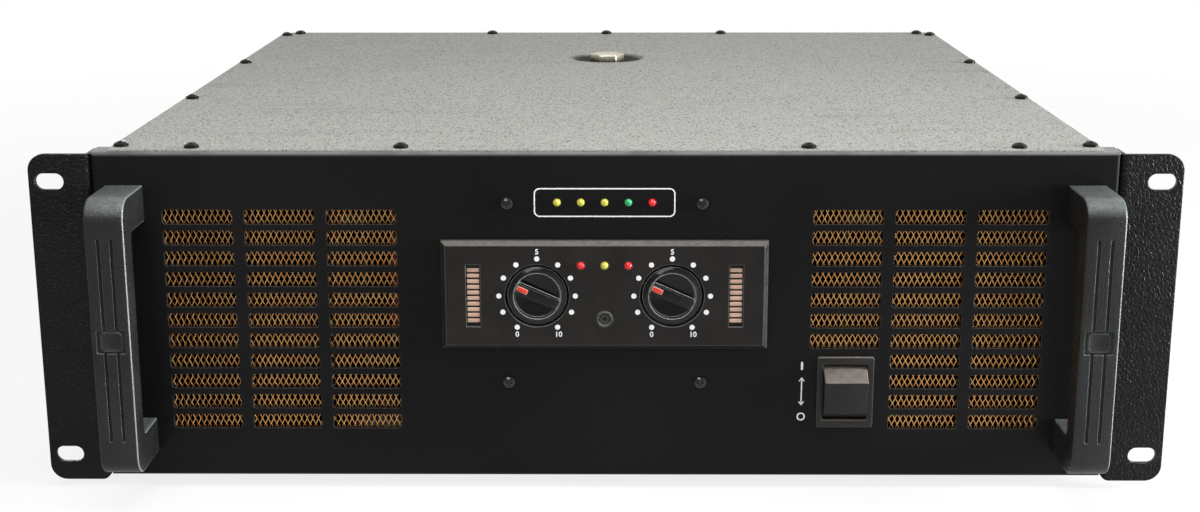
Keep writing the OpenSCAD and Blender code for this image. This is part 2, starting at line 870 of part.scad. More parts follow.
module volume_knob(x) {
    edge = 0.8;
    edge_h = 1.2;
    mouth = 2 * (dish_r - edge);
    translate([x, 0, plate_cz]) difference() {
        union() {
            difference() {
                rod_y(0, 0, knob_front + edge_h, knob_back, knob_d);
                rod_y(0, 0, knob_front - 1, dish_floor, mouth);
            }
            difference() {
                translate([0, knob_front + edge_h, 0]) rotate([90, 0, 0])
                    cylinder(h = edge_h, d1 = knob_d, d2 = knob_d - 2 * edge);
                rod_y(0, 0, knob_front - 1, knob_front + 2, mouth);
                translate([0, knob_front + edge_h, 0]) rotate([90, 0, 0])
                    cylinder(h = edge_h + 0.1, d1 = mouth, d2 = 2 * dish_r + 0.6);
            }
            knob_grip();
            rod_y(0, 0, knob_back - 0.5, hub_y, hub_d);
        }
        rod_y(0, 0, shaft_front - 0.1, hub_y + 1, shaft_d + 2 * turn_c);
    }
}

module volume_knob_a() {
    color("#101012") place() volume_knob(-knob_x);
}

module volume_knob_b() {
    color("#101012") place() volume_knob(knob_x);
}

module pot_bodies() {
    half = 8.5;
    color("#b5b3aa") place()
        for (s = [-1, 1])
            difference() {
                union() {
                    block([s * knob_x - half, s * knob_x + half], [pot_front, board_y],
                        [plate_cz - half, plate_cz + half]);
                    rod_y(s * knob_x, plate_cz, bush_front, pot_front + 1, bush_d);
                }
                rod_y(s * knob_x, plate_cz, bush_front - 1, shaft_end + 0.2, shaft_d + 2 * turn_c);
            }
}

module pot_nuts() {
    color("#d2cfc4") place()
        for (s = [-1, 1])
            difference() {
                hex_y(s * knob_x, plate_cz, bush_front + 0.2, cup_floor, 10);
                rod_y(s * knob_x, plate_cz, bush_front - 1, cup_floor + 1, bush_d + 0.1);
            }
}

module pot_shaft(x) {
    rod_y(x, plate_cz, shaft_front, shaft_end, shaft_d);
}

module pot_shaft_a() {
    color("#cfccc2") place() pot_shaft(-knob_x);
}

module pot_shaft_b() {
    color("#cfccc2") place() pot_shaft(knob_x);
}

module push_button() {
    z = panel_cz + button_up;
    front = -plate_d - 0.8;
    stem_end = board_y - switch_reach - button_travel - 0.2;
    color("#1d1e20") place() difference() {
        union() {
            rod_y(0, z, front, -plate_d + plate_t + 1.2, button_d);
            rod_y(0, z, -1, stem_end, 3.5);
            rod_y(0, z, -plate_d + plate_t + 0.4, -plate_d + plate_t + 1.2, button_d + 1.6);
        }
        translate([0, front - 10.2, z]) sphere(d = 22);
    }
}

// Rocker outline in Y and Z about its pivot: a short upper face, a long lower face and round ends
function rocker_arc(a0, a1, n) = [
    for (i = [0:n]) [rocker_r * cos(a0 + (a1 - a0) * i / n), rocker_r * sin(a0 + (a1 - a0) * i / n)]
];

module rocker_outline() {
    ridge = [-12, 6.4];
    top_angle = 109;
    low_angle = 223;
    polygon(concat([ridge, [-12.2, 5.6]], rocker_arc(low_angle, 262, 10), [[5, -9], [5, 9]],
        rocker_arc(88, top_angle, 6)));
}

module power_rocker() {
    color("#3a3c3e") place() translate([switch_x, pivot_y, switch_cz]) {
        along_x(-rocker_w / 2, rocker_w / 2) rocker_outline();
        rotate([0, 90, 0])
            cylinder(h = rocker_w + 2 * trunnion_l, d = trunnion_d, center = true);
    }
}

module power_switch_body() {
    tab = [6.3, 0.8];
    reach = rocker_w / 2 + trunnion_l + 0.1;
    color("#2a2b2d") place() {
        difference() {
            union() {
                along_y(-bezel_t, 0) translate([switch_x, switch_cz]) round_rect(switch_w, switch_h, 0.8);
                block([switch_x - switch_body_w / 2, switch_x + switch_body_w / 2], [-0.5, switch_body_d],
                    [switch_cz - switch_body_h / 2, switch_cz + switch_body_h / 2]);
            }
            block([switch_x - rocker_w / 2 - move_c, switch_x + rocker_w / 2 + move_c],
                [-bezel_t - 1, well_d], [switch_cz - well_h / 2, switch_cz + well_h / 2]);
            translate([switch_x, pivot_y, switch_cz]) rotate([0, 90, 0])
                cylinder(h = 2 * reach, d = trunnion_d + 2 * turn_c, center = true);
        }
        for (s = [-1, 1], k = [-1:1])
            block([switch_x + s * 5 - tab[1] / 2, switch_x + s * 5 + tab[1] / 2],
                [switch_body_d - 0.5, switch_body_d + 9],
                [switch_cz + k * 9 - tab[0] / 2, switch_cz + k * 9 + tab[0] / 2]);
    }
}

// ---------- Transformer ----------

module transformer() {
    r = core_d / 2;
    hole = core_hole_d / 2;
    soft = 14;
    color("#c9a43c") place() translate([0, core_y, 0]) rotate_extrude($fn = 96)
        translate([(r + hole) / 2, (core_z0 + core_z1) / 2]) round_rect(r - hole, core_h, soft);
}

module ring_pad(z0, z1, d) {
    difference() {
        rod_z(0, core_y, z0, z1, d);
        rod_z(0, core_y, z0 - 1, z1 + 1, core_hole_d - 8);
    }
}

module transformer_pads() {
    color("#222222") place() {
        ring_pad(floor_z, core_z0, core_d - 30);
        ring_pad(core_z1, top_pad_z, core_d - 30);
    }
}

module clamp_plate() {
    color("#b0ada2") place() difference() {
        union() {
            rod_z(0, core_y, top_pad_z, clamp_z1, core_d - 40);
            rod_z(0, core_y, clamp_z1 - 0.5, dish_bottom_z, washer_d);
        }
        rod_z(0, core_y, top_pad_z - 1, dish_bottom_z + 1, bolt_d + 1);
    }
}

module centre_bolt() {
    z1 = dish_floor_z + washer_t + bolt_head_h;
    chamfer = 0.3;
    slope = 7;
    color("#d9d3bd") place() {
        rod_z(0, core_y, dish_floor_z, dish_floor_z + washer_t, washer_d);
        intersection() {
            hex_z(0, core_y, dish_floor_z + washer_t - 0.2, z1, bolt_af);
            translate([0, core_y, z1 - bolt_head_h - 1]) cylinder(h = bolt_head_h + 1,
                r1 = bolt_af / 2 + slope, r2 = bolt_af / 2 - chamfer);
        }
        rod_z(0, core_y, floor_z, dish_floor_z + 1, bolt_d);
    }
}

module weld_nut() {
    color("#b8b4a6") place() difference() {
        hex_z(0, core_y, floor_z, floor_z + nut_h, bolt_af);
        rod_z(0, core_y, floor_z - 1, floor_z + nut_h + 1, bolt_d + 2 * turn_c);
    }
}

// ---------- Power stage ----------

module sink_comb() {
    p = (sink_h - fin_t) / (fin_n - 1);
    translate([sink_x0, floor_z]) square([sink_base, sink_h]);
    for (i = [0:fin_n - 1])
        translate([sink_x0 + sink_base - 0.5, floor_z + i * p])
            square([sink_x1 - sink_x0 - sink_base + 0.5, fin_t]);
}

module heatsinks() {
    color("#9da0a2") place() both() along_y(sink_y0, sink_y0 + sink_l) sink_comb();
}

module output_transistors() {
    end = 15;
    p = (sink_l - 2 * end) / (device_n - 1);
    z = driver_z0 + 40;
    leg = 1;
    color("#2b2b2d") place() both()
        for (i = [0:device_n - 1]) {
            y = sink_y0 + end + i * p;
            block([sink_x0 - device[0], sink_x0], [y - device[1] / 2, y + device[1] / 2], [z, z + device[2]]);
            for (k = [-1:1])
                block([driver_x + board_t, sink_x0 - device[0] / 2 + leg / 2],
                    [y + k * 5 - leg / 2, y + k * 5 + leg / 2], [z - 6, z - 6 + leg]);
            for (k = [-1:1])
                block([sink_x0 - device[0] / 2 - leg / 2, sink_x0 - device[0] / 2 + leg / 2],
                    [y + k * 5 - leg / 2, y + k * 5 + leg / 2], [z - 6, z + 0.5]);
        }
}

module driver_boards() {
    foot = 8;
    foot_z = driver_z0 + 84;
    coil = [7, 10];
    coil_p = 36;
    color("#1f6b43") place() both() {
        block([driver_x, driver_x + board_t], [sink_y0, sink_y0 + sink_l], [driver_z0, driver_z0 + driver_h]);
        for (k = [0, 1])
            block([driver_x + board_t, sink_x0],
                [sink_y0 + k * (sink_l - foot), sink_y0 + foot + k * (sink_l - foot)],
                [foot_z, foot_z + foot]);
        for (i = [0:5])
            translate([driver_x, sink_y0 + 25 + i * coil_p, driver_z0 + 15]) rotate([0, -90, 0])
                cylinder(h = coil[0], d = coil[1]);
    }
}

module supply_board() {
    leg_in = 6;
    leg_d = 7;
    color("#1f6b43") place() {
        block([-supply_w / 2, supply_w / 2], [supply_y0, supply_y0 + supply_l],
            [supply_z, supply_z + board_t]);
        for (s = [-1, 1], t = [0, 1])
            rod_z(s * (supply_w / 2 - leg_in), supply_y0 + leg_in + t * (supply_l - 2 * leg_in),
                floor_z, supply_z, leg_d);
        block([-20, 20], [supply_y0 + supply_l - 10, supply_y0 + supply_l - 2],
            [supply_z + board_t, supply_z + 12]);
    }
}

module filter_capacitors() {
    color("#1e2f52") place()
        for (i = [0:3], k = [0, 1])
            translate([(i - 1.5) * cap_px, supply_y0 + 30 + k * cap_py, supply_z + board_t]) difference() {
                cylinder(h = cap_h, d = cap_d);
                translate([0, 0, cap_h - 0.8]) cylinder(h = 1, d = cap_d - 5);
            }
}

module bridge_rectifiers() {
    s = 28.6;
    h = 10;
    x0 = 46;
    y0 = 28;
    tab = [6.3, 0.8, 12.5];
    color("#37383a") place() both() {
        difference() {
            block([x0, x0 + s], [y0, y0 + s], [floor_z, floor_z + h]);
            rod_z(x0 + s / 2, y0 + s / 2, floor_z - 1, floor_z + h + 1, 5.2);
        }
        for (i = [0, 1], k = [0, 1])
            translate([x0 + 3 + i * 17, y0 + 5 + k * 18, floor_z + h - 0.5]) cube(tab);
    }
}

// ---------- Rear ----------

module output_board() {
    half = [60, 22];
    color("#1f6b43") place()
        difference() {
            block([-half[0], half[0]], [rear_board_y - board_t, rear_board_y],
                [row_mid - half[1], row_mid + half[1]]);
            for (i = [-1:1])
                rod_y(i * speaker_px, row_mid, rear_board_y - 3, rear_board_y + 1, 3);
        }
}

module output_relays() {
    relay = [16, 16, 29];
    x = 51;
    color("#24507e") place()
        for (s = [-1, 1])
            block([s * x - relay[0] / 2, s * x + relay[0] / 2],
                [rear_board_y - board_t - relay[1], rear_board_y - board_t],
                [row_mid - 15, row_mid - 15 + relay[2]]);
}

module input_board() {
    half_w = 104;
    front = rear_board_y - board_t;
    chip = [10, 3.5, 6];
    chip_p = 40;
    color("#1f6b43") place() {
        block([-half_w, half_w], [front, rear_board_y], [row_top - 15, row_top + 18]);
        for (i = [-2:2])
            block([i * chip_p - chip[0] / 2, i * chip_p + chip[0] / 2], [front - chip[1], front],
                [row_top - chip[2] / 2, row_top + chip[2] / 2]);
        block([ribbon_x[0] - 1, ribbon_x[1] + 1], [front - plug_d, front], [plug_z, plug_z + 8]);
    }
}

module fan_frames() {
    strut_w = 4;
    strut_t = 4;
    hole = 4.3;
    color("#19191a") place() for (s = [-1, 1]) {
        translate([s * fan_x, 0, fan_cz]) {
            difference() {
                along_y(fan_y0, rear_y) round_rect(fan_s, fan_s, 5);
                rod_y(0, 0, fan_y0 - 1, rear_y + 1, 2 * rotor_r + 2 * rotor_c);
                for (i = [-1, 1], k = [-1, 1])
                    rod_y(i * fan_screw_p / 2, k * fan_screw_p / 2, fan_y0 - 1, rear_y + 1, hole);
            }
            for (a = [45:90:315])
                rotate([0, a, 0])
                    block([fan_hub_d / 2 - 4, rotor_r + rotor_c + 1], [rear_y - strut_t, rear_y],
                        [-strut_w / 2, strut_w / 2]);
            rod_y(0, 0, rear_y - strut_t, rear_y, fan_hub_d);
            rod_y(0, 0, fan_y0 + 3, rear_y - 1, fan_pin_d);
        }
    }
}

module fan_rotor(x) {
    blades = 7;
    blade_t = 1.8;
    blade_l = 15;
    pitch = 38;
    gap = 1;
    y0 = fan_y0 + 1;
    y1 = rear_y - 4 - gap;
    mid = (y0 + y1) / 2;
    color("#222324") place() translate([x, 0, fan_cz]) difference() {
        union() {
            rod_y(0, 0, y0, y1, fan_hub_d);
            for (i = [0:blades - 1])
                rotate([0, i * 360 / blades, 0]) translate([0, mid, 0]) rotate([pitch, 0, 0])
                    translate([fan_hub_d / 2 - 2, -blade_t / 2, -blade_l / 2])
                        cube([rotor_r - fan_hub_d / 2 - 1.5, blade_t, blade_l]);
        }
        rod_y(0, 0, fan_y0 + 2, rear_y, fan_pin_d + 2 * turn_c);
    }
}

module fan_rotor_left() {
    fan_rotor(-fan_x);
}

module fan_rotor_right() {
    fan_rotor(fan_x);
}

module ring_y(x, z, y0, y1, r, w) {
    difference() {
        rod_y(x, z, y0, y1, 2 * r + w);
        rod_y(x, z, y0 - 1, y1 + 1, 2 * r - w);
    }
}

module fan_guards() {
    wire = 2;
    rings = [10, 18, 26, 34];
    lug_r = fan_screw_p / sqrt(2);
    color("#c4c3bd") place() for (s = [-1, 1])
        translate([s * fan_x, 0, fan_cz]) difference() {
            union() {
                for (r = rings)
                    ring_y(0, 0, body_d + 1, body_d + guard_t, r, wire);
                for (a = [45:90:315]) {
                    rotate([0, a, 0])
                        block([rings[0] - 1, lug_r - screw_head_d / 2 - 0.5], [body_d + 0.4, body_d + 2.2],
                            [-wire / 2, wire / 2]);
                    rotate([0, a, 0]) rod_y(lug_r, 0, body_d, body_d + guard_lug_t, screw_head_d + 1.6);
                }
            }
            for (i = [-1, 1], k = [-1, 1])
                rod_y(i * fan_screw_p / 2, k * fan_screw_p / 2, body_d - 1, body_d + guard_t, screw_d + 0.4);
        }
}

module d_socket(x, z) {
    along_y(body_d, body_d + flange_plate) translate([x, z]) round_rect(d_flange[0], d_flange[1], 2.5);
    rod_y(x, z, rear_board_y, body_d + 0.5, d_body);
}

module input_sockets() {
    mouth = 16.4;
    mouth_deep = 17;
    insert_d = 11.4;
    cz = row_top - 1;
    pin_r = 3.4;
    pin_d = 2.5;
    color("#2c2d2f") place()
        for (s = [-1, 1])
            difference() {
                union() {
                    difference() {
                        d_socket(s * input_x, row_top);
                        rod_y(s * input_x, cz, body_d + flange_plate - mouth_deep, body_d + 5, mouth);
                    }
                    rod_y(s * input_x, cz, body_d + flange_plate - mouth_deep - 1,
                        body_d + flange_plate - 1.5, insert_d);
                }
                for (a = [90, 210, 330])
                    rod_y(s * input_x + pin_r * cos(a), cz + pin_r * sin(a),
                        body_d + flange_plate - 12, body_d + 5, pin_d);
                block([s * input_x - latch_w / 2 - move_c, s * input_x + latch_w / 2 + move_c],
                    [body_d - 8, body_d + 5],
                    [row_top + latch_up - latch_h / 2 - move_c, row_top + latch_up + latch_h / 2 + move_c]);
            }
}

module input_latch(x) {
    lift = 0.2;
    block([x - latch_w / 2, x + latch_w / 2], [body_d - 6, body_d + flange_plate + 0.8],
        [row_top + latch_up - latch_h / 2, row_top + latch_up + latch_h / 2 - lift]);
}

module input_latch_a() {
    color("#8f9496") place() input_latch(-input_x);
}

module input_latch_b() {
    color("#8f9496") place() input_latch(input_x);
}

module jack_sockets() {
    bore = 6.5;
    body = [8, 9];
    nut = [1.8, 14];
    color("#2a2a2c") place()
        for (s = [-1, 1])
            difference() {
                union() {
                    rod_y(s * jack_x, row_top, rear_y - 0.5, body_d + flange_plate, jack_neck);
                    block([s * jack_x - body[0], s * jack_x + body[0]], [rear_board_y, rear_y],
                        [row_top - body[1], row_top + body[1]]);
                    hex_y(s * jack_x, row_top, body_d, body_d + nut[0], nut[1]);
                }
                rod_y(s * jack_x, row_top, rear_board_y + 4, body_d + 3, bore);
            }
}

module speaker_sockets() {
    mouth = 21;
    core = 10.4;
    deep = 16;
    pin_r = 3.6;
    pin_d = 1.6;
    color("#1d3f78") place()
        for (i = [-1:1])
            difference() {
                union() {
                    difference() {
                        d_socket(i * speaker_px, row_mid);
                        rod_y(i * speaker_px, row_mid, body_d + flange_plate - deep, body_d + 5, mouth);
                    }
                    rod_y(i * speaker_px, row_mid, body_d + flange_plate - deep - 1,
                        body_d + flange_plate - 0.5, core);
                }
                for (a = [45:90:315])
                    rod_y(i * speaker_px + pin_r * cos(a), row_mid + pin_r * sin(a),
                        body_d + flange_plate - 10, body_d + 5, pin_d);
            }
}

module filter_switches() {
    body = [20, 8, 11];
    well = [slider_w + slider_travel + 2 * move_c, slider_h + 2 * move_c];
    color("#3b3d40") place() {
        for (s = [-1, 1])
            difference() {
                union() {
                    block([s * filter_x - body[0] / 2, s * filter_x + body[0] / 2],
                        [rear_y - body[1], rear_y], [row_top - body[2] / 2, row_top + body[2] / 2]);
                    block([s * filter_x - 4, s * filter_x + 4], [rear_board_y, rear_y - body[1] + 0.5],
                        [row_top - 4, row_top + 4]);
                    block([s * filter_x - filter_hole[0] / 2 + 0.2, s * filter_x + filter_hole[0] / 2 - 0.2],
                        [rear_y - 0.5, body_d],
                        [row_top - filter_hole[1] / 2 + 0.2, row_top + filter_hole[1] / 2 - 0.2]);
                }
                block([s * filter_x - well[0] / 2, s * filter_x + well[0] / 2], [rear_y - 5, body_d + 1],
                    [row_top - well[1] / 2, row_top + well[1] / 2]);
            }
    }
}

module filter_slider(x) {
    block([x - slider_travel / 2 - slider_w / 2, x - slider_travel / 2 + slider_w / 2],
        [rear_y - 4.8, body_d + 1.8], [row_top - slider_h / 2, row_top + slider_h / 2]);
}

module filter_slider_a() {
    color("#e4e2da") place() filter_slider(-filter_x);
}

module filter_slider_b() {
    color("#e4e2da") place() filter_slider(filter_x);
}

module mains_inlet() {
    well = [25.5, 17.6];
    deep = 20;
    pin = [2, 8];
    pin_p = 8;
    color("#151516") place() difference() {
        union() {
            difference() {
                union() {
                    along_y(body_d, body_d + flange_plate) translate([inlet_x, row_low])
                        round_rect(inlet_w, inlet_h, 4);
                    block([inlet_x - inlet_in[0] / 2, inlet_x + inlet_in[0] / 2], [rear_y - 24, body_d + 0.5],
                        [row_low - inlet_in[1] / 2, row_low + inlet_in[1] / 2]);
                }
                block([inlet_x - well[0] / 2, inlet_x + well[0] / 2],
                    [body_d + flange_plate - deep, body_d + 5],
                    [row_low - well[1] / 2, row_low + well[1] / 2]);
            }
            for (k = [-1:1])
                block([inlet_x + k * pin_p - pin[0] / 2, inlet_x + k * pin_p + pin[0] / 2],
                    [rear_y - 31, body_d - 2], [row_low - pin[1] / 2, row_low + pin[1] / 2]);
        }
        for (s = [-1, 1])
            rod_y(inlet_x + s * (inlet_w / 2 - 4), row_low, body_d - 1, body_d + 5, 3.4);
    }
}

module breaker_body() {
    half = [8, 17];
    color("#1c1c1e") place() difference() {
        union() {
            block([breaker_x - half[0], breaker_x + half[0]], [rear_y - 26, rear_y],
                [row_low - half[1], row_low + half[1]]);
            rod_y(breaker_x, row_low, rear_y - 0.5, body_d + breaker_nut_t + 0.6, breaker_neck);
            hex_y(breaker_x, row_low, body_d, body_d + breaker_nut_t - 1, 15);
        }
        rod_y(breaker_x, row_low, rear_y - 10, body_d + 9, button_stem_d + 2 * move_c);
    }
}

module breaker_button() {
    color("#b41f1f") place()
        rod_y(breaker_x, row_low, rear_y - 9, body_d + rear_reach, button_stem_d);
}

// ---------- Wiring ----------

// One straight insulated run between two points along a single axis
module wire_run(a, b) {
    r = wire_d / 2;
    lo = [min(a[0], b[0]) - r, min(a[1], b[1]) - r, min(a[2], b[2]) - r];
    hi = [max(a[0], b[0]) + r, max(a[1], b[1]) + r, max(a[2], b[2]) + r];
    block([lo[0], hi[0]], [lo[1], hi[1]], [lo[2], hi[2]]);
}

module wire_path(points) {
    for (i = [0:len(points) - 2])
        wire_run(points[i], points[i + 1]);
}

module wiring() {
    tab_y = switch_body_d + 7;
    pin_y = [rear_y - 29.3, rear_y - 25.7];
    front_y = board_y + board_t + 12;
    back_y = rear_board_y - board_t - plug_d;
    low_z = panel_cz - 14;
    color("#7a2d24") place() {
        for (k = [0, 1])
            wire_path([
                [inlet_x + 8 - k * 16 + 2.3, pin_y[k], row_low + 2],
                [inlet_x + 8 - k * 16 + 2.3, pin_y[k], wire_z + k * 4],
                [wire_x, pin_y[k], wire_z + k * 4], [wire_x, tab_y, wire_z + k * 4],
                [switch_x + 5 - k * 10 + 1.7, tab_y, wire_z + k * 4],
                [switch_x + 5 - k * 10 + 1.7, tab_y, switch_cz - 9]
            ]);
        block(ribbon_x, [back_y - ribbon_t, back_y], [plug_z + 1, ribbon_z + ribbon_t]);
        block(ribbon_x, [front_y, back_y], [ribbon_z, ribbon_z + ribbon_t]);
        block(ribbon_x, [front_y, front_y + ribbon_t], [low_z + 6, ribbon_z + ribbon_t]);
        block([ribbon_x[0], 10], [front_y, front_y + ribbon_t], [low_z, low_z + 12]);
        block([-10, 10], [board_y + board_t + 8, front_y + 0.5], [low_z + 3, low_z + 9]);
    }
}

fascia();
ear_left();
ear_right();
ear_screws();
handle_left();
handle_right();
handle_screws();
vent_meshes();
chassis_pan();
rear_panel();
top_cover();
case_screws();
rubber_feet();
control_plate();
control_board();
board_spacers();
fascia_screws();
lamps_yellow();
lamp_green();
lamps_red();
meter_blocks();
volume_knob_a();
volume_knob_b();
pot_bodies();
pot_nuts();
pot_shaft_a();
pot_shaft_b();
push_button();
power_switch_body();
power_rocker();
transformer();
transformer_pads();
clamp_plate();
centre_bolt();
weld_nut();
heatsinks();
output_transistors();
driver_boards();
supply_board();
filter_capacitors();
bridge_rectifiers();
output_board();
output_relays();
input_board();
fan_frames();
fan_rotor_left();
fan_rotor_right();
fan_guards();
input_sockets();
input_latch_a();
input_latch_b();
jack_sockets();
speaker_sockets();
filter_switches();
filter_slider_a();
filter_slider_b();
mains_inlet();
breaker_body();
breaker_button();
wiring();
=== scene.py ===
# %% [markdown]
# # A rack power amplifier
# The working model, with every piece at its true size, is already built. It is
# loaded here as a fixed frame, and this lesson gives it its looks: paint,
# moulded grain, pressed mesh, printed marks and soft edges. Some frame pieces
# only need a better finish. Others are modelled again, with the edges and
# curves that a workshop drawing leaves out, and stand in for their plain twin.

# %% Load the frame
import json
import math

import bmesh
import bpy
from mathutils import Matrix, Vector


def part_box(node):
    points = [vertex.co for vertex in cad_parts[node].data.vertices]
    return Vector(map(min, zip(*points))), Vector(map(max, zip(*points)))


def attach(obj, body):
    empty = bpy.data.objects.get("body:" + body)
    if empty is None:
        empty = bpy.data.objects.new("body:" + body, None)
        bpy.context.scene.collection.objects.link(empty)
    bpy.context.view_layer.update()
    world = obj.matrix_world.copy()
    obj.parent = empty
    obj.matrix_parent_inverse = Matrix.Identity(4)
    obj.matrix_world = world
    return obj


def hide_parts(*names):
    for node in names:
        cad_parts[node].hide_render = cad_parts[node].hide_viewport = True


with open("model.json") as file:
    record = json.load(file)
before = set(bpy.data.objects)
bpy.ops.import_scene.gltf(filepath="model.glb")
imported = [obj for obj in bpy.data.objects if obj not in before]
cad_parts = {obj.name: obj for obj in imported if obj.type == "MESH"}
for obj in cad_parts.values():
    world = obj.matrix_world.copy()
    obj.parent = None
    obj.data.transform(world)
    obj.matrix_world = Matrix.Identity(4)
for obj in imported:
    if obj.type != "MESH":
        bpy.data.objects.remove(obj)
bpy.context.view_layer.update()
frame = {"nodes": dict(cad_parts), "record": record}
NODES = frame["nodes"]
MM = 0.001
ALIGNED = 0.9  # a unit direction with this much along an axis counts as along it
NEAR = MM / 10
ALONG_X = (0, math.pi / 2, 0)
FACING_OUT = (math.pi / 2, 0, 0)


def centre_of(node_name):
    """The middle of a frame piece's box."""
    low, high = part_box(node_name)
    return (low + high) / 2


print("frame pieces:", len(NODES))

# %% [markdown]
# Every step below selects faces or edges by where they are and which way they
# look, because a script has no mouse. These few helpers keep that readable:
# some choose what is selected or open, two pick faces or edges in edit mode,
# and some add the boxes and other primitives that most pieces start from.


# %% Selecting
def only(*objects):
    """These objects are selected, nothing else, and the last one is active."""
    bpy.ops.object.select_all(action="DESELECT")
    for o in objects:
        o.select_set(True)
    bpy.context.view_layer.objects.active = objects[-1]


def edit(piece):
    """Opens a piece in edit mode with nothing selected."""
    only(piece)
    bpy.ops.object.mode_set(mode="EDIT")
    bpy.ops.mesh.select_all(action="DESELECT")


def pick_all():
    """Selects everything of the piece that is open."""
    bpy.ops.mesh.select_all(action="SELECT")


def edit_whole():
    """Opens the active piece in edit mode with all of it selected."""
    bpy.ops.object.mode_set(mode="EDIT")
    pick_all()


def round_edges(width, segments):
    """Bevels the edges that are selected."""
    bpy.ops.mesh.bevel(offset=width, segments=segments, affect="EDGES")


def close_edit():
    """Leaves edit mode."""
    bpy.ops.object.mode_set(mode="OBJECT")


def settle():
    """Stores the selected piece's place, turn and size in its mesh."""
    bpy.ops.object.transform_apply(location=True, rotation=True, scale=True)


def fresh(name, primitive, stretch=(1, 1, 1), **settings):
    """Adds a primitive, stretches it, and stores its place in its mesh."""
    bpy.ops.object.select_all(action="DESELECT")
    primitive(**settings)
    piece = bpy.context.object
    piece.scale = stretch
    settle()
    piece.name = piece.data.name = name
    return piece


def extrude(step):
    """Extrudes what is selected in edit mode by a step."""
    bpy.ops.mesh.extrude_region_move(TRANSFORM_OT_translate={"value": step})


def pick_faces(piece, test):
    """Selects the faces whose middle and normal pass the test."""
    bpy.ops.mesh.select_mode(type="FACE")
    bpy.ops.mesh.select_all(action="DESELECT")
    mesh = bmesh.from_edit_mesh(piece.data)
    for face in mesh.faces:
        face.select_set(bool(test(face.calc_center_median(), face.normal)))
    bmesh.update_edit_mesh(piece.data)


def pick_edges(piece, test):
    """Selects the edges whose middle and direction pass the test."""
    bpy.ops.mesh.select_mode(type="EDGE")
    bpy.ops.mesh.select_all(action="DESELECT")
    mesh = bmesh.from_edit_mesh(piece.data)
    for e in mesh.edges:
        a, b = e.verts[0].co, e.verts[1].co
        e.select_set(bool(test((a + b) / 2, (b - a).normalized())))
    bmesh.update_edit_mesh(piece.data)


def block(name, low, high):
    """A box between two corners."""
    low, high = Vector(low), Vector(high)
    return fresh(name, bpy.ops.mesh.primitive_cube_add, high - low, size=1, location=(low + high) / 2)


def corners(middle, half_x, half_z, y_low, y_high):
    """The corners of a box that lies round a point in X and Z, between two depths."""
    low = Vector((middle[0] - half_x, y_low, middle[2] - half_z))
    return low, Vector((middle[0] + half_x, y_high, middle[2] + half_z))


def apply_modifier(piece, kind, **settings):
    """Adds a modifier and applies it at once."""
    only(piece)
    modifier = piece.modifiers.new(kind.title(), kind)
    for key, value in settings.items():
        setattr(modifier, key, value)
    bpy.ops.object.modifier_apply(modifier=modifier.name)


def joined(name, pieces):
    """Several meshes as one piece."""
    only(*pieces)
    bpy.ops.object.join()
    piece = bpy.context.object
    piece.name = piece.data.name = name
    return piece


def turned(piece, centre, axis, degrees):
    """Turns a piece about an axis through a point, and stores the turn in its mesh."""
    only(piece)
    to_centre = Matrix.Translation(Vector(centre))
    piece.matrix_world = to_centre @ Matrix.Rotation(math.radians(degrees), 4, axis) @ to_centre.inverted()
    settle()
    return piece


def moved_copy(piece, step):
    """A copy with its own mesh, shifted by a step that is stored in that mesh."""
    only(piece)
    bpy.ops.object.duplicate(linked=False)
    bpy.ops.transform.translate(value=step)
    settle()
    return bpy.context.object


def soften(piece, width, segments=3, angle=40):
    """Rounds every edge that is sharper than the angle."""
    apply_modifier(piece, "BEVEL", width=width, segments=segments, limit_method="ANGLE",
                   angle_limit=math.radians(angle))


def set_finish(piece, material):
    """Makes a material the piece's only one."""
    piece.data.materials.clear()
    piece.data.materials.append(material)


def soft_block(name, low, high, rounding, material):
    """A box with small round edges and its own finish, as a part of a piece."""
    piece = block(name, low, high)
    soften(piece, rounding, 2)
    set_finish(piece, material)
    return piece


print("helpers ready")

# %% [markdown]
# Turned pieces, such as a knob, a lamp or a bolt, are spun: a profile is drawn
# as a chain of points, each a radius and a depth, and the Spin operator sweeps
# it once round the axis. Doubles are merged at the seam and the poles, and the
# normals are worked out again, because a spin can leave them inside out. A
# piece with a side outline, such as the rocker, starts as the same chain, which
# is filled and extruded.


# %% Turned shapes
def chain(name, points):
    """A line of edges through the points, selected and open in edit mode."""
    piece = fresh(name, bpy.ops.mesh.primitive_plane_add, size=MM, location=points[0])
    bpy.ops.object.mode_set(mode="EDIT")
    bpy.ops.mesh.select_mode(type="VERT")
    pick_all()
    bpy.ops.mesh.merge(type="CENTER")
    for here, there in zip(points, points[1:]):
        extrude(there - here)
    pick_all()
    return piece


def face_outwards():
    """Makes every normal point outwards and leaves edit mode."""
    pick_all()
    bpy.ops.mesh.normals_make_consistent(inside=False)
    close_edit()


def spun(name, profile, centre, axis="Y", steps=64):
    """Sweeps (radius, depth) points round an axis through the centre."""
    along = Vector((0, 1, 0)) if axis == "Y" else Vector((0, 0, 1))
    centre = Vector(centre)
    piece = chain(name, [centre + Vector((radius, 0, 0)) + along * depth for radius, depth in profile])
    bpy.ops.mesh.spin(steps=steps, angle=2 * math.pi, center=centre, axis=along)
    pick_all()
    bpy.ops.mesh.remove_doubles(threshold=MM / 100)
    face_outwards()
    return piece


def arc(centre, radius, start, end, steps):
    """Points on an arc, in (radius, depth), between two angles in degrees."""
    turns = [math.radians(start + (end - start) * i / steps) for i in range(steps + 1)]
    return [(centre[0] + radius * math.cos(t), centre[1] + radius * math.sin(t)) for t in turns]


def in_mm(profile):
    """A profile written in millimetres, in metres."""
    return [(r * MM, d * MM) for r, d in profile]


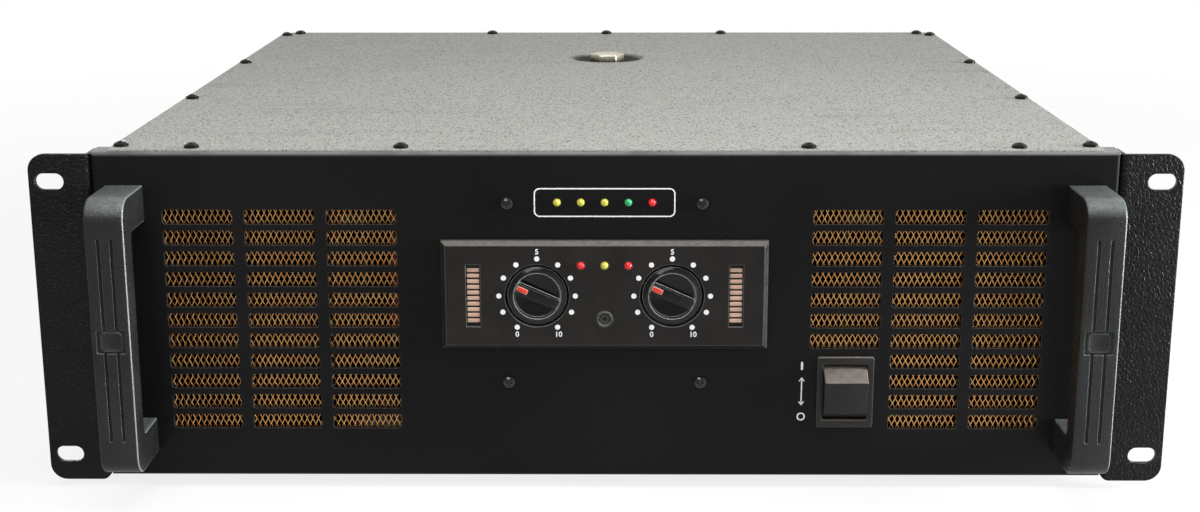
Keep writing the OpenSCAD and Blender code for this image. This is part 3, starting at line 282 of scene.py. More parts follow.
def prism(name, outline, x_low, x_high):
    """Fills an outline of (y, z) points and extrudes it along X."""
    piece = chain(name, [Vector((x_low, y, z)) for y, z in outline])
    bpy.ops.mesh.edge_face_add()
    extrude((x_high - x_low, 0, 0))
    face_outwards()
    return piece


print("turned shapes ready")

# %% [markdown]
# A finish is built from the same few layers on almost every piece. Object
# coordinates are metres on the real piece, so a grain of half a millimetre is
# a scale of 2000. Slow noise varies the tint, fine noise breaks up the gloss,
# a bump gives the grain its height, and where the Bevel node's normal leaves
# the surface's own normal there is an edge, which can be given a lighter
# painted highlight.


# %% Material layers
NOISE_RANGE = (0.3, 0.7)


def new_finish(name):
    """An empty material with its shader and object coordinates."""
    material = bpy.data.materials.new(name)
    material.use_nodes = True
    tree = material.node_tree
    shader = tree.nodes["Principled BSDF"]
    where = tree.nodes.new("ShaderNodeTexCoord").outputs["Object"]
    return material, tree, shader, where


def add(tree, kind, sockets, **settings):
    """Adds a node, sets it up, and links or fills its sockets."""
    made = tree.nodes.new("ShaderNode" + kind)
    for key, value in settings.items():
        setattr(made, key, value)
    for key, value in sockets.items():
        if isinstance(value, bpy.types.NodeSocket):
            tree.links.new(value, made.inputs[key])
        else:
            made.inputs[key].default_value = value
    return made


def noise(tree, where, size, detail=2.0, rough=0.5):
    """Noise whose grain is about that many metres across."""
    sockets = {"Vector": where, "Scale": 1 / size, "Detail": detail, "Roughness": rough}
    return add(tree, "TexNoise", sockets).outputs["Fac"]


def remap(tree, value, low, high, to_low, to_high):
    """Stretches a part of a value's range over another range."""
    sockets = {"Value": value, "From Min": low, "From Max": high, "To Min": to_low, "To Max": to_high}
    return add(tree, "MapRange", sockets).outputs["Result"]


def uneven(tree, grain, low, high):
    """Spreads the common range of a noise over another range."""
    return remap(tree, grain, *NOISE_RANGE, low, high)


def blend_colours(tree, factor, first, second):
    """Mixes two colours by a factor."""
    first, second = (c if isinstance(c, bpy.types.NodeSocket) else (*c, 1) for c in (first, second))
    return add(tree, "Mix", {0: factor, 6: first, 7: second}, data_type="RGBA").outputs[2]


def blend_values(tree, factor, first, second):
    """Mixes two values by a factor."""
    return add(tree, "Mix", {0: factor, 2: first, 3: second}, data_type="FLOAT").outputs[0]


def calculate(tree, operation, first, second):
    """The result of one sum on two values."""
    return add(tree, "Math", {0: first, 1: second}, operation=operation).outputs[0]


def relief(tree, height, depth, under=None):
    """A normal from a height, over a softened normal where one is given."""
    sockets = {"Height": height, "Distance": depth, "Strength": 1.0}
    if under is not None:
        sockets["Normal"] = under
    return add(tree, "Bump", sockets).outputs["Normal"]


def dress(tree, shader, colour, rough, normal=None, specular=0.5, metal=0.0):
    """Gives a shader its colour, roughness and strength of gloss, and its normal if there is one."""
    for name, socket in (("Base Color", colour), ("Roughness", rough), ("Normal", normal)):
        if socket is not None:
            tree.links.new(socket, shader.inputs[name])
    shader.inputs["Specular IOR Level"].default_value = specular
    shader.inputs["Metallic"].default_value = metal


def paint_over(material, mask, colour):
    """Lays a colour over a whole finish where the mask is 1."""
    tree = material.node_tree
    base = tree.nodes["Principled BSDF"].inputs["Base Color"]
    tree.links.new(blend_colours(tree, mask, base.links[0].from_socket, colour), base)
    return material


def place_in(material):
    """A finish's tree and its object coordinates."""
    tree = material.node_tree
    return tree, tree.nodes["Texture Coordinate"].outputs["Object"]


def edge_mask(tree, radius):
    """Where a softened normal leaves the true one: 1 on outer edges, 0 on flats."""
    soft = add(tree, "Bevel", {"Radius": radius}, samples=6)
    true = add(tree, "NewGeometry", {})
    normals = {0: soft.outputs["Normal"], 1: true.outputs["Normal"]}
    match = add(tree, "VectorMath", normals, operation="DOT_PRODUCT").outputs["Value"]
    return remap(tree, match, 0.985, 0.86, 0, 1), soft.outputs["Normal"]


def upward(tree, low, high):
    """1 where the piece's own surface looks upwards, which is where the painted top light goes."""
    facing = add(tree, "TexCoord", {}).outputs["Normal"]
    return remap(tree, add(tree, "SeparateXYZ", {0: facing}).outputs["Z"], low, high, 0, 1)


def painted_top_light(material, colour, low, high):
    """Paints a lighter colour, in patches, on the faces of a finish that look upwards: painted top light."""
    tree, where = place_in(material)
    patches = remap(tree, noise(tree, where, 0.004, 4, 0.7), 0.3, 0.6, 0.55, 1)
    return paint_over(material, calculate(tree, "MULTIPLY", upward(tree, low, high), patches), colour)


def finish(name, colour, rough, metal=0.0, tint=0.12, tint_size=0.03, grain=0.0005, grain_depth=0.00002,
           gloss_spread=0.08, edge=None, edge_radius=0.0004, specular=0.5):
    """A complete finish from the common layers."""
    material, tree, shader, where = new_finish(name)
    slow = noise(tree, where, tint_size, 3)
    fine = noise(tree, where, grain, 3, 0.6)
    dark = tuple(c * (1 - tint) for c in colour)
    light = tuple(min(1, c * (1 + tint)) for c in colour)
    shade = blend_colours(tree, uneven(tree, slow, 0, 1), dark, light)
    normal = None
    # where an edge colour is given, it is laid on the outer edges as a painted highlight
    if edge:
        mask, normal = edge_mask(tree, edge_radius)
        shade = blend_colours(tree, mask, shade, edge)
    gloss = uneven(tree, fine, rough - gloss_spread, rough + gloss_spread)
    dress(tree, shader, shade, gloss, relief(tree, fine, grain_depth, normal), specular, metal)
    return material


print("material layers ready")

# %% [markdown]
# ## Camera, floor and light
# The camera stands a little above the lid and looks slightly down, as someone
# at a bench would. The place is given from the frame's own front, so that the
# view stays right. The floor is pale and plain. Four soft lamps stand round the
# case: one over the front of the lid, one low at the right that draws the edges
# of the dark front, one low behind, and one in front. Gloss sees a dim room in
# front and at the left, and a white one behind and at the right.

# %% Camera
FRONT_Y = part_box("ear_left")[0].y
MIDDLE_Z = centre_of("ear_left").z
CAMERA_AWAY = 0.725
CAMERA_UP = 0.208
CAMERA_SIDE = 0.004
PITCH, YAW, ROLL = math.radians(13.91), math.radians(-0.47), math.radians(0.07)

camera_data = bpy.data.cameras.new("camera")
camera_data.lens = 53.1
camera = bpy.data.objects.new("camera", camera_data)
bpy.context.scene.collection.objects.link(camera)
forward = Vector((math.sin(YAW) * math.cos(PITCH), math.cos(YAW) * math.cos(PITCH), -math.sin(PITCH)))
right = forward.cross(Vector((0, 0, 1))).normalized()
up = right.cross(forward)
turn = Matrix((right, up, -forward)).transposed().to_4x4()
spot = Vector((CAMERA_SIDE, FRONT_Y - CAMERA_AWAY, MIDDLE_Z + CAMERA_UP))
camera.matrix_world = Matrix.Translation(spot) @ turn @ Matrix.Rotation(-ROLL, 4, "Z")
bpy.context.scene.camera = camera
print("camera at", tuple(round(v, 3) for v in spot))


# %% Lamps and floor
def lamp(name, place, target, size, power, colour=(1, 1, 1)):
    """A soft rectangular lamp that looks at a point."""
    data = bpy.data.lights.new(name, "AREA")
    data.shape = "RECTANGLE"
    data.size, data.size_y = size
    data.energy = power
    data.color = colour
    made = bpy.data.objects.new(name, data)
    bpy.context.scene.collection.objects.link(made)
    made.location = place
    made.rotation_euler = (Vector(target) - Vector(place)).to_track_quat("-Z", "Y").to_euler()


lamp("lamp_overhead", (0.02, -0.4, 0.72), (0, -0.12, 0.12), (0.8, 0.25), 3.5)
lamp("lamp_right", (1.5, -0.38, 0.28), (-0.1, -0.18, 0.08), (0.3, 0.5), 55, (0.93, 0.98, 1.0))
lamp("lamp_behind", (-0.7, 1.9, 0.09), (0, 0.2, 0.08), (1.2, 0.1), 9)
lamp("lamp_front", (-0.5, -2.0, 1.5), (0, 0, 0.1), (1.4, 0.8), 15)

WHITE = (1, 1, 1)
WORLD_LIGHT = 0.22
ROOM_DIM = 0.34
BRIGHT_SIDE = Vector((0.55, 0.83, 0))


def room_reflection(tree, direction, start, end):
    """How bright gloss sees the room: dim in front and at the left, white behind and at the right."""
    along = add(tree, "VectorMath", {0: direction, 1: BRIGHT_SIDE}, operation="DOT_PRODUCT").outputs["Value"]
    return remap(tree, along, start, end, ROOM_DIM, 1.0)


def floor_finish():
    """Pale floor that the camera sees white, that keeps the shadow, and that gloss sees as the room."""
    material, tree, shader, where = new_finish("floor_pale")
    shader.inputs["Roughness"].default_value = 0.9
    path = add(tree, "LightPath", {})
    camera_ray, glossy_ray = path.outputs["Is Camera Ray"], path.outputs["Is Glossy Ray"]
    looked_at = calculate(tree, "MAXIMUM", camera_ray, glossy_ray)
    pale = blend_colours(tree, looked_at, (0.38, 0.38, 0.38), (0.95, 0.95, 0.95))
    tree.links.new(pale, shader.inputs["Base Color"])
    away = add(tree, "VectorMath", {0: where}, operation="LENGTH").outputs["Value"]
    fade = remap(tree, away, 0.35, 1.3, 0.82, 1.0)
    share = calculate(tree, "MULTIPLY", looked_at, fade)
    room = room_reflection(tree, where, -0.5, 0.35)
    seen = blend_values(tree, glossy_ray, 1.0, room)
    glow = add(tree, "Emission", {"Color": (*WHITE, 1), "Strength": seen})
    mix = add(tree, "MixShader", {0: share, 1: shader.outputs[0], 2: glow.outputs[0]})
    tree.links.new(mix.outputs[0], tree.nodes["Material Output"].inputs["Surface"])
    return material


floor = fresh("floor", bpy.ops.mesh.primitive_plane_add, size=16)
floor.data.materials.append(floor_finish())

world = bpy.data.worlds.new("studio")
bpy.context.scene.world = world
world.use_nodes = True
sky = world.node_tree
background = sky.nodes["Background"]
background.inputs["Color"].default_value = (*WHITE, 1)
paths = add(sky, "LightPath", {})
direct = calculate(sky, "MAXIMUM", paths.outputs["Is Camera Ray"], paths.outputs["Is Transmission Ray"])
gloss_light = room_reflection(sky, add(sky, "TexCoord", {}).outputs["Generated"], -0.5, 0.5)
indirect = blend_values(sky, paths.outputs["Is Glossy Ray"], WORLD_LIGHT, gloss_light)
strength = blend_values(sky, direct, indirect, 1.0)
sky.links.new(strength, background.inputs["Strength"])
bpy.context.scene.view_settings.view_transform = "Standard"

# %% [markdown]
# ## Finishes of the case
# The front is smooth satin black paint with a faint orange peel, and a painted
# highlight along its top bend. The ears have a black leather-grain powder coat,
# whose small cushions catch the light and whose bend has a painted highlight in
# patches. The lid is warm grey with a fine dark speckle and painted shade in its
# dish. Each is a function, so that its grain, tint, wear and painted light can be
# read in one place.


# %% Painted sheet
PANEL_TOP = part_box("fascia")[1].z


def panel_black():
    """Smooth satin black paint with dust-fine texture, painted highlights on its edges, and a patchy painted
    highlight along its top bend.
    """
    material = finish("panel_black", (0.0075, 0.0066, 0.0068), 0.30, tint=0.25, tint_size=0.12, grain=0.0011,
                      grain_depth=0.000012, gloss_spread=0.05, edge=(0.10, 0.10, 0.095), edge_radius=0.0003,
                      specular=0.15)
    tree, where = place_in(material)
    height = add(tree, "SeparateXYZ", {0: where}).outputs["Z"]
    bend = remap(tree, height, PANEL_TOP - 1.4 * MM, PANEL_TOP - 0.3 * MM, 0, 1)
    # a painted highlight along the top bend, broken into patches by noise
    bend_highlight = remap(tree, noise(tree, where, 0.02, 4), 0.3, 0.55, 0.55, 1)
    return paint_over(material, calculate(tree, "MULTIPLY", bend, bend_highlight), (0.20, 0.20, 0.19))


def ear_black():
    """Leather-grain coat: two sizes of raised cushions, with a painted highlight in patches along its edges
    and its bend.
    """
    material, tree, shader, where = new_finish("ear_black")
    warp = add(tree, "TexNoise", {"Vector": where, "Scale": 420.0, "Detail": 2.0})
    bent = add(tree, "VectorMath", {0: warp.outputs["Color"], "Scale": 0.0011}, operation="SCALE")
    moved = add(tree, "VectorMath", {0: where, 1: bent.outputs[0]}, operation="ADD").outputs[0]
    cells = add(tree, "TexVoronoi", {"Vector": moved, "Scale": 1100.0}, feature="SMOOTH_F1")
    creases = add(tree, "TexVoronoi", {"Vector": moved, "Scale": 560.0}, feature="DISTANCE_TO_EDGE")
    crease = remap(tree, creases.outputs["Distance"], 0.0, 0.22, 0, 1)
    height = calculate(tree, "SUBTRACT", crease, cells.outputs["Distance"])
    # painted highlight: a light colour in patches along the edges and the bend
    mask, soft = edge_mask(tree, 0.0007)
    patches = remap(tree, noise(tree, where, 0.006, 3, 0.7), 0.52, 0.72, 0, 1)
    patchy_edge_highlight = calculate(tree, "MULTIPLY", mask, patches)
    shade = blend_colours(tree, patchy_edge_highlight, (0.0062, 0.0056, 0.0054), (0.22, 0.21, 0.20))
    gloss = uneven(tree, noise(tree, where, 0.02), 0.34, 0.46)
    dress(tree, shader, shade, gloss, relief(tree, height, 0.15 * MM, soft), 0.22)
    return material


BOLT_LOW, BOLT_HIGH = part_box("centre_bolt")
BOLT_SPOT = Vector((*centre_of("centre_bolt").xy, 0))
DISH_RADIUS = 21.5 * MM


def cover_grey():
    """Warm grey powder coat with a fine dark and light speckle, faint scuffs, painted shade in the dish round
    the bolt, and a painted highlight on its edges.
    """
    material, tree, shader, where = new_finish("cover_grey")
    grit = noise(tree, where, 0.0007, 2, 0.8)
    flecks = remap(tree, noise(tree, where, 0.0009, 1), 0.33, 0.47, 1, 0)
    slow = uneven(tree, noise(tree, where, 0.16, 3), 0, 1)
    body = blend_colours(tree, slow, (0.30, 0.298, 0.272), (0.35, 0.347, 0.32))
    speckled = blend_colours(tree, remap(tree, grit, 0.44, 0.58, 0, 0.95), body, (0.53, 0.526, 0.49))
    peppered = blend_colours(tree, flecks, speckled, (0.12, 0.118, 0.107))
    streaky = add(tree, "Mapping", {"Vector": where, "Scale": (7, 42, 42)}).outputs[0]
    scuffs = remap(tree, noise(tree, streaky, 1.0, 3), 0.60, 0.72, 0, 0.22)
    scuffed = blend_colours(tree, scuffs, peppered, (0.16, 0.157, 0.145))
    # painted shade: the dish round the bolt is darkened, fading out at its rim
    offset = add(tree, "VectorMath", {0: where, 1: BOLT_SPOT}, operation="SUBTRACT").outputs[0]
    flat = add(tree, "VectorMath", {0: offset, 1: (1, 1, 0)}, operation="MULTIPLY").outputs[0]
    radius = add(tree, "VectorMath", {0: flat}, operation="LENGTH").outputs["Value"]
    painted_dish_shade = remap(tree, radius, DISH_RADIUS - 3.5 * MM, DISH_RADIUS + 0.5 * MM, 0.93, 0)
    shade = blend_colours(tree, painted_dish_shade, scuffed, (0.022, 0.021, 0.019))
    # a painted highlight along the edges
    mask, soft = edge_mask(tree, 0.0005)
    edge_highlighted = blend_colours(tree, mask, shade, (0.47, 0.465, 0.44))
    gloss = uneven(tree, grit, 0.5, 0.66)
    dress(tree, shader, edge_highlighted, gloss, relief(tree, grit, 0.06 * MM, soft), 0.12)
    return material


def rear_black():
    """Satin black powder coat of the rear panel, with a painted highlight on its edges."""
    return finish("rear_black", (0.017, 0.017, 0.018), 0.48, tint=0.2, tint_size=0.08, grain=0.0008,
                  grain_depth=0.00003, edge=(0.10, 0.10, 0.10), edge_radius=0.0003)


print("painted sheet finishes written")

# %% [markdown]
# ## Finishes of the fittings
# Moulded plastic takes its grain from the tool it was moulded in: coarse on a
# handle, fine on the control plate, none on a polished knob. Plated parts are
# metals whose roughness varies where they were handled. Inside the case the
# boards, windings and cans are seen only through gaps, but each still gets
# the finish that it would have on a bench.


# %% Plastics
def handle_plastic():
    """Dark grey-green moulding with a sandy grain, with painted highlights on its edges and on its round
    corner to the side, and painted top light.
    """
    moulding = finish("handle_plastic", (0.0155, 0.016, 0.0152), 0.30, tint=0.35, tint_size=0.02,
                      grain=0.0007, grain_depth=0.00024, gloss_spread=0.1, edge=(0.10, 0.108, 0.106),
                      edge_radius=0.0005, specular=0.45)
    tree = moulding.node_tree
    # a painted highlight on the rounding that turns towards +X
    sideways = add(tree, "SeparateXYZ", {0: add(tree, "TexCoord", {}).outputs["Normal"]}).outputs["X"]
    rising, falling = remap(tree, sideways, 0.3, 0.65, 0, 1), remap(tree, sideways, 0.98, 0.8, 0, 1)
    paint_over(moulding, calculate(tree, "MULTIPLY", rising, falling), (0.24, 0.26, 0.255))
    # painted top light, in patches, on the faces that look upwards
    return painted_top_light(moulding, (0.125, 0.14, 0.135), 0.25, 0.75)


def control_plastic():
    """Fine-grained black moulding of the raised plate, with painted highlights on its edges and painted top
    light on its upward faces.
    """
    moulding = finish("control_plastic", (0.0128, 0.0102, 0.0088), 0.34, tint=0.3, tint_size=0.015,
                      grain=0.0007, grain_depth=0.00024, gloss_spread=0.07, edge=(0.26, 0.265, 0.25),
                      edge_radius=0.0005, specular=0.32)
    # painted top light on the faces that look upwards
    return painted_top_light(moulding, (0.12, 0.11, 0.097), 0.2, 0.6)


def knob_black():
    """Polished black plastic with faint turning marks, and a bright painted highlight along its edges."""
    return finish("knob_black", (0.003, 0.003, 0.0032), 0.13, tint=0.3, tint_size=0.01, grain_depth=0.000004,
                  gloss_spread=0.04, edge=(0.8, 0.8, 0.77), edge_radius=0.0005, specular=0.42)


def switch_black():
    """Matte moulded black of the rocker and its bezel, with painted highlights on its edges and painted top
    light on its upward faces.
    """
    moulding = finish("switch_black", (0.017, 0.0155, 0.014), 0.34, tint=0.25, tint_size=0.008,
                      grain_depth=0.00006, edge=(0.22, 0.21, 0.19), edge_radius=0.0005, specular=0.35)
    # painted top light on the faces that look upwards
    return painted_top_light(moulding, (0.19, 0.165, 0.145), 0.2, 0.5)


def rubber_black():
    """Matte rubber with a dusty bloom."""
    return finish("rubber_black", (0.02, 0.02, 0.02), 0.8, tint=0.35, tint_size=0.006, grain=0.0006,
                  grain_depth=0.00005, specular=0.3)


def moulded(name, colour, rough, depth=0.00002, edge=None):
    """A moulded part of any colour; an edge colour, where one is given, is a painted highlight along its
    edges.
    """
    return finish(name, colour, rough, tint=0.18, tint_size=0.008, grain_depth=depth, edge=edge)


def board_green():
    """Circuit board: green solder mask with copper tracks showing as lighter lines."""
    material, tree, shader, where = new_finish("board_green")
    lines = add(tree, "TexBrick", {"Vector": where, "Scale": 90.0, "Mortar Size": 0.06,
                                   "Brick Width": 0.9, "Row Height": 0.25})
    shade = blend_colours(tree, lines.outputs["Fac"], (0.012, 0.085, 0.035), (0.03, 0.17, 0.07))
    gloss = uneven(tree, noise(tree, where, 0.003), 0.25, 0.4)
    dress(tree, shader, shade, gloss, relief(tree, lines.outputs["Fac"], 0.03 * MM))
    return material


print("plastic finishes written")


# %% Metals, lenses and prints
def plated(name, colour, rough, grain=0.0006):
    """A plated or turned metal with a little uneven gloss."""
    return finish(name, colour, rough, metal=1.0, tint=0.1, tint_size=0.004, grain=grain,
                  grain_depth=0.000012, gloss_spread=0.07)


def brushed(name, colour, rough, stretch):
    """Metal with fine lines, from noise that is squeezed across them."""
    material, tree, shader, where = new_finish(name)
    squeezed = add(tree, "Mapping", {"Vector": where, "Scale": stretch}).outputs[0]
    lines = noise(tree, squeezed, 1.0, 3)
    shade = blend_colours(tree, lines, tuple(c * 0.8 for c in colour), colour)
    gloss = uneven(tree, lines, rough - 0.08, rough + 0.08)
    dress(tree, shader, shade, gloss, relief(tree, lines, 0.01 * MM), metal=1.0)
    return material


def mesh_gold():
    """Gold lacquer over expanded steel, browner where the lacquer is thick."""
    return finish("mesh_gold", (1.0, 0.46, 0.16), 0.24, metal=0.75, tint=0.2, tint_size=0.004, grain=0.0009,
                  grain_depth=0.00003)


def lens(name, colour, glow):
    """A tinted lamp lens, clouded a little, under a glossy skin."""
    material, tree, shader, where = new_finish(name)
    deep = tuple(c * 0.6 for c in colour)
    swirl = remap(tree, noise(tree, where, 0.0009, 2), 0.35, 0.65, 0, 1)
    gloss = uneven(tree, noise(tree, where, 0.0008), 0.08, 0.16)
    dress(tree, shader, blend_colours(tree, swirl, deep, colour), gloss)
    shader.inputs["Emission Color"].default_value = (*colour, 1)
    shader.inputs["Emission Strength"].default_value = glow
    shader.inputs["Coat Weight"].default_value = 0.6
    return material


def ink(name, colour):
    """Screen-printed ink: flat, slightly uneven at the scale of the screen."""
    return finish(name, colour, 0.55, tint=0.04, tint_size=0.002, grain=0.0003, grain_depth=0.000006,
                  gloss_spread=0.05)


print("metal, lens and print finishes written")

# %% [markdown]
# The frame's pieces take their finishes by name. A piece that keeps its frame
# shape only has its material slot changed; its mesh and place stay as they are.

# %% Finish every frame piece
PLATED = [
    ("black_screw", (0.035, 0.034, 0.032), 0.16), ("zinc_screw", (0.60, 0.59, 0.56), 0.33),
    ("bolt_zinc", (0.56, 0.54, 0.42), 0.30, 0.0009), ("plated", (0.68, 0.67, 0.63), 0.28),
    ("guard_wire", (0.66, 0.66, 0.63), 0.22), ("latch_metal", (0.58, 0.59, 0.60), 0.25)]
LENSES = [
    ("lamp_yellow", (0.62, 0.56, 0.07), 0.25), ("lamp_green", (0.03, 0.42, 0.14), 0.2),
    ("lamp_red", (0.72, 0.012, 0.016), 0.35)]
MOULDED = [
    ("meter_tan", (0.74, 0.48, 0.36), 0.40), ("winding_tape", (0.55, 0.36, 0.05), 0.35, 0.00006),
    ("device_black", (0.018, 0.018, 0.019), 0.5), ("capacitor_blue", (0.015, 0.035, 0.15), 0.22),
    ("relay_blue", (0.02, 0.09, 0.26), 0.35), ("slider_white", (0.62, 0.61, 0.57), 0.4),
    ("reset_red", (0.42, 0.012, 0.014), 0.3), ("wire_red", (0.22, 0.03, 0.02), 0.4),
    ("fan_black", (0.014, 0.014, 0.0145), 0.45, 0.00004, (0.07, 0.07, 0.07)),
    ("socket_black", (0.017, 0.017, 0.018), 0.42, 0.00003, (0.08, 0.08, 0.08)),
    ("socket_blue", (0.012, 0.055, 0.22), 0.38, 0.00003, (0.06, 0.13, 0.33))]
OWN_FINISH = (panel_black, ear_black, cover_grey, rear_black, handle_plastic, control_plastic, knob_black,
              switch_black, rubber_black, board_green, mesh_gold)
FINISHES = {make.__name__: make() for make in OWN_FINISH}
FINISHES["sink_black"] = brushed("sink_black", (0.03, 0.028, 0.026), 0.42, (4000, 40, 4000))
for make, rows in ((plated, PLATED), (lens, LENSES), (moulded, MOULDED)):
    FINISHES.update({row[0]: make(*row) for row in rows})
SLOT_OF = {row["node"]: row["material_slot"] for row in frame["record"]["subparts"]}
for node_name, piece in NODES.items():
    set_finish(piece, FINISHES[SLOT_OF[node_name]])
NODES["fascia_screws"].data.materials[0] = plated("front_screw", (0.07, 0.069, 0.067), 0.13)
PRINT_WHITE = ink("print_white", (0.95, 0.95, 0.93))
print("finishes:", len(FINISHES))


# %% Handing a piece over
def hand_over(piece, body, slot, *stands_for, smooth=40):
    """Gives a finished piece its finish, smooth shading and body, and hides what it stands for."""
    if not piece.data.materials:
        piece.data.materials.append(FINISHES[slot])
    only(piece)
    bpy.ops.object.shade_smooth_by_angle(angle=math.radians(smooth))
    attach(piece, body)
    if stands_for:
        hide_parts(*stands_for)
    print(piece.name, "has", len(piece.data.polygons), "faces")
    return piece


# %% [markdown]
# ## Grip handles
# A handle is one moulding: a flat bar with a post at each end. It starts as a
# box the size of the bar. Two cuts mark the posts, and their back faces are
# pushed out to the panel. The front corners then get a wide round and every
# long edge a small one, because that small round is what catches the light.
# The grooves and the badge field are cut with rounded cutters last.

# %% Handle
GRIP_DEEP = 11.5 * MM
POST_TALL = 15.5 * MM
GROOVE_WIDE = 1.3 * MM
GROOVE_DEEP = 1.5 * MM
GROOVE_APART = 5.3 * MM
GROOVE_FROM, GROOVE_TO = 4 * MM, 43.3 * MM
BADGE_HALF = (6 * MM, 5 * MM)
BADGE_GAP = (1.7 * MM, 1 * MM)


def slot_cutter(name, low, high, rounding):
    """A cutter with round ends: a block whose four edges along Y are bevelled."""
    cutter = block(name, low, high)
    edit(cutter)
    pick_edges(cutter, lambda mid, way: abs(way.y) > ALIGNED)
    round_edges(rounding, 5)
    close_edit()
    return cutter


def cut(piece, cutter):
    """Takes the cutter's shape out of the piece and removes the cutter."""
    apply_modifier(piece, "BOOLEAN", object=cutter, operation="DIFFERENCE", solver="EXACT")
    bpy.data.objects.remove(cutter)


def make_handle(side):
    """One moulded handle, with its grooves and its badge."""
    low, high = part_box("handle_" + side)
    middle = (low + high) / 2
    back = low.y + GRIP_DEEP
    gap = (high.z - low.z) / 2 - POST_TALL
    bar = block("bar", low, (high.x, back, high.z))
    edit(bar)
    for z in (low.z + POST_TALL, high.z - POST_TALL):
        pick_all()
        bpy.ops.mesh.bisect(plane_co=(0, 0, z), plane_no=(0, 0, 1))
    pick_faces(bar, lambda mid, n: n.y > ALIGNED and abs(mid.z - middle.z) > gap)
    extrude((0, high.y - back, 0))
    pick_edges(bar, lambda mid, way: abs(way.x) > ALIGNED and mid.y < low.y + NEAR
               and abs(mid.z - middle.z) > gap + MM)
    round_edges(9 * MM, 10)
    pick_edges(bar, lambda mid, way: abs(way.x) > ALIGNED and abs(mid.y - back) < NEAR
               and abs(abs(mid.z - middle.z) - gap) < NEAR)
    round_edges(3 * MM, 6)
    close_edit()
    soften(bar, 1.7 * MM, 4, 50)
    front, bottom = low.y - MM, low.y + GROOVE_DEEP
    half = (GROOVE_TO - GROOVE_FROM) / 2
    for up in (-1, 1):
        for side_way in (-1, 1):
            spot = middle + Vector((side_way * GROOVE_APART / 2, 0, up * (GROOVE_FROM + half)))
            groove = corners(spot, GROOVE_WIDE / 2, half, front, bottom)
            cut(bar, slot_cutter("groove_cutter", *groove, GROOVE_WIDE * 0.45))
    field = corners(middle, *BADGE_HALF, front, low.y + GROOVE_DEEP * 0.6)
    cut(bar, slot_cutter("field_cutter", *field, 0.6 * MM))
    inner = [whole - gap_left for whole, gap_left in zip(BADGE_HALF, BADGE_GAP)]
    badge = slot_cutter("badge", *corners(middle, *inner, low.y + 0.15 * MM, bottom), 1.6 * MM)
    edit(badge)
    pick_faces(badge, lambda mid, n: n.y < -ALIGNED)
    bpy.ops.mesh.inset(thickness=0.7 * MM, depth=-0.45 * MM)
    close_edit()
    soften(badge, 0.12 * MM, 2, 50)
    hand_over(joined("grip_handle_" + side, [badge, bar]), "case", "handle_plastic", "handle_" + side)


make_handle("left")
make_handle("right")

# %% [markdown]
# ## Expanded mesh
# The vents are backed by expanded metal: a sheet that is slit and stretched
# into diamonds. Each strand runs down the sheet as a zigzag, and neighbours
# meet at the corners. So one zigzag ribbon is extruded segment by segment,
# mirrored for its neighbour, and the pair is repeated with an Array modifier.
# The strand's section stands at a slant, which is what makes it glint.

# %% Mesh behind the vents
MESH_LOW, MESH_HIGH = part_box("vent_meshes")
SWITCH_LOW, SWITCH_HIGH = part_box("power_switch_body")
FIELD_WIDE = 105.7 * MM
DIAMOND_WIDE = 2.43 * MM
DIAMOND_TALL = 4.8 * MM
STRAND_WIDE = 0.36 * MM
STRAND_THICK = 0.42 * MM
STRAND_SLANT = math.radians(14)


def zigzag(name, spot, segments, way):
    """One ribbon that zigzags upwards from a slanted rectangular section."""
    ribbon = fresh(name, bpy.ops.mesh.primitive_plane_add, (STRAND_WIDE, STRAND_THICK, 1), size=1,
                   location=spot, rotation=(0, 0, way * STRAND_SLANT))
    edit_whole()
    for i in range(segments):
        lean = way * DIAMOND_WIDE / 2 * (1 if i % 2 == 0 else -1)
        extrude((lean, 0, DIAMOND_TALL / 2))
    face_outwards()
    return ribbon


def make_mesh_field(name, x_low, skip_below=None):
    """Fills a field with diamonds; skip_below is (inner edge, height) of the corner left out."""
    spot = (x_low + DIAMOND_WIDE / 2, (MESH_LOW.y + MESH_HIGH.y) / 2, MESH_LOW.z)
    segments = int((MESH_HIGH.z - MESH_LOW.z) / (DIAMOND_TALL / 2))
    field = joined(name, [zigzag("strand", spot, segments, way) for way in (1, -1)])
    apply_modifier(field, "ARRAY", count=int(FIELD_WIDE / DIAMOND_WIDE), use_relative_offset=False,
                   use_constant_offset=True, constant_offset_displace=(DIAMOND_WIDE, 0, 0))
    if skip_below:
        edge_x, edge_z = skip_below
        edit(field)
        pick_faces(field, lambda mid, n: mid.x < edge_x and mid.z < edge_z)
        bpy.ops.mesh.delete(type="FACE")
        pick_all()
        bpy.ops.mesh.fill_holes(sides=4)
        close_edit()
    hand_over(field, "case", "mesh_gold", "vent_meshes", smooth=20)


make_mesh_field("vent_mesh_left", MESH_LOW.x)
make_mesh_field("vent_mesh_right", MESH_HIGH.x - FIELD_WIDE,
                (SWITCH_HIGH.x + 3 * MM, SWITCH_HIGH.z + 1.5 * MM))

# %% [markdown]
# ## Volume knobs
# A knob stands in a shallow cup of the control plate. Its rim is turned, with
# a flat ring, a round inner lip and a dished face, so it is spun from a
# profile. A low arched bar crosses the dish as the finger grip. The arch is
# easiest to see from the side, so the bar is drawn as a side outline, given its
# width, and then turned to where the pointer stands at rest.

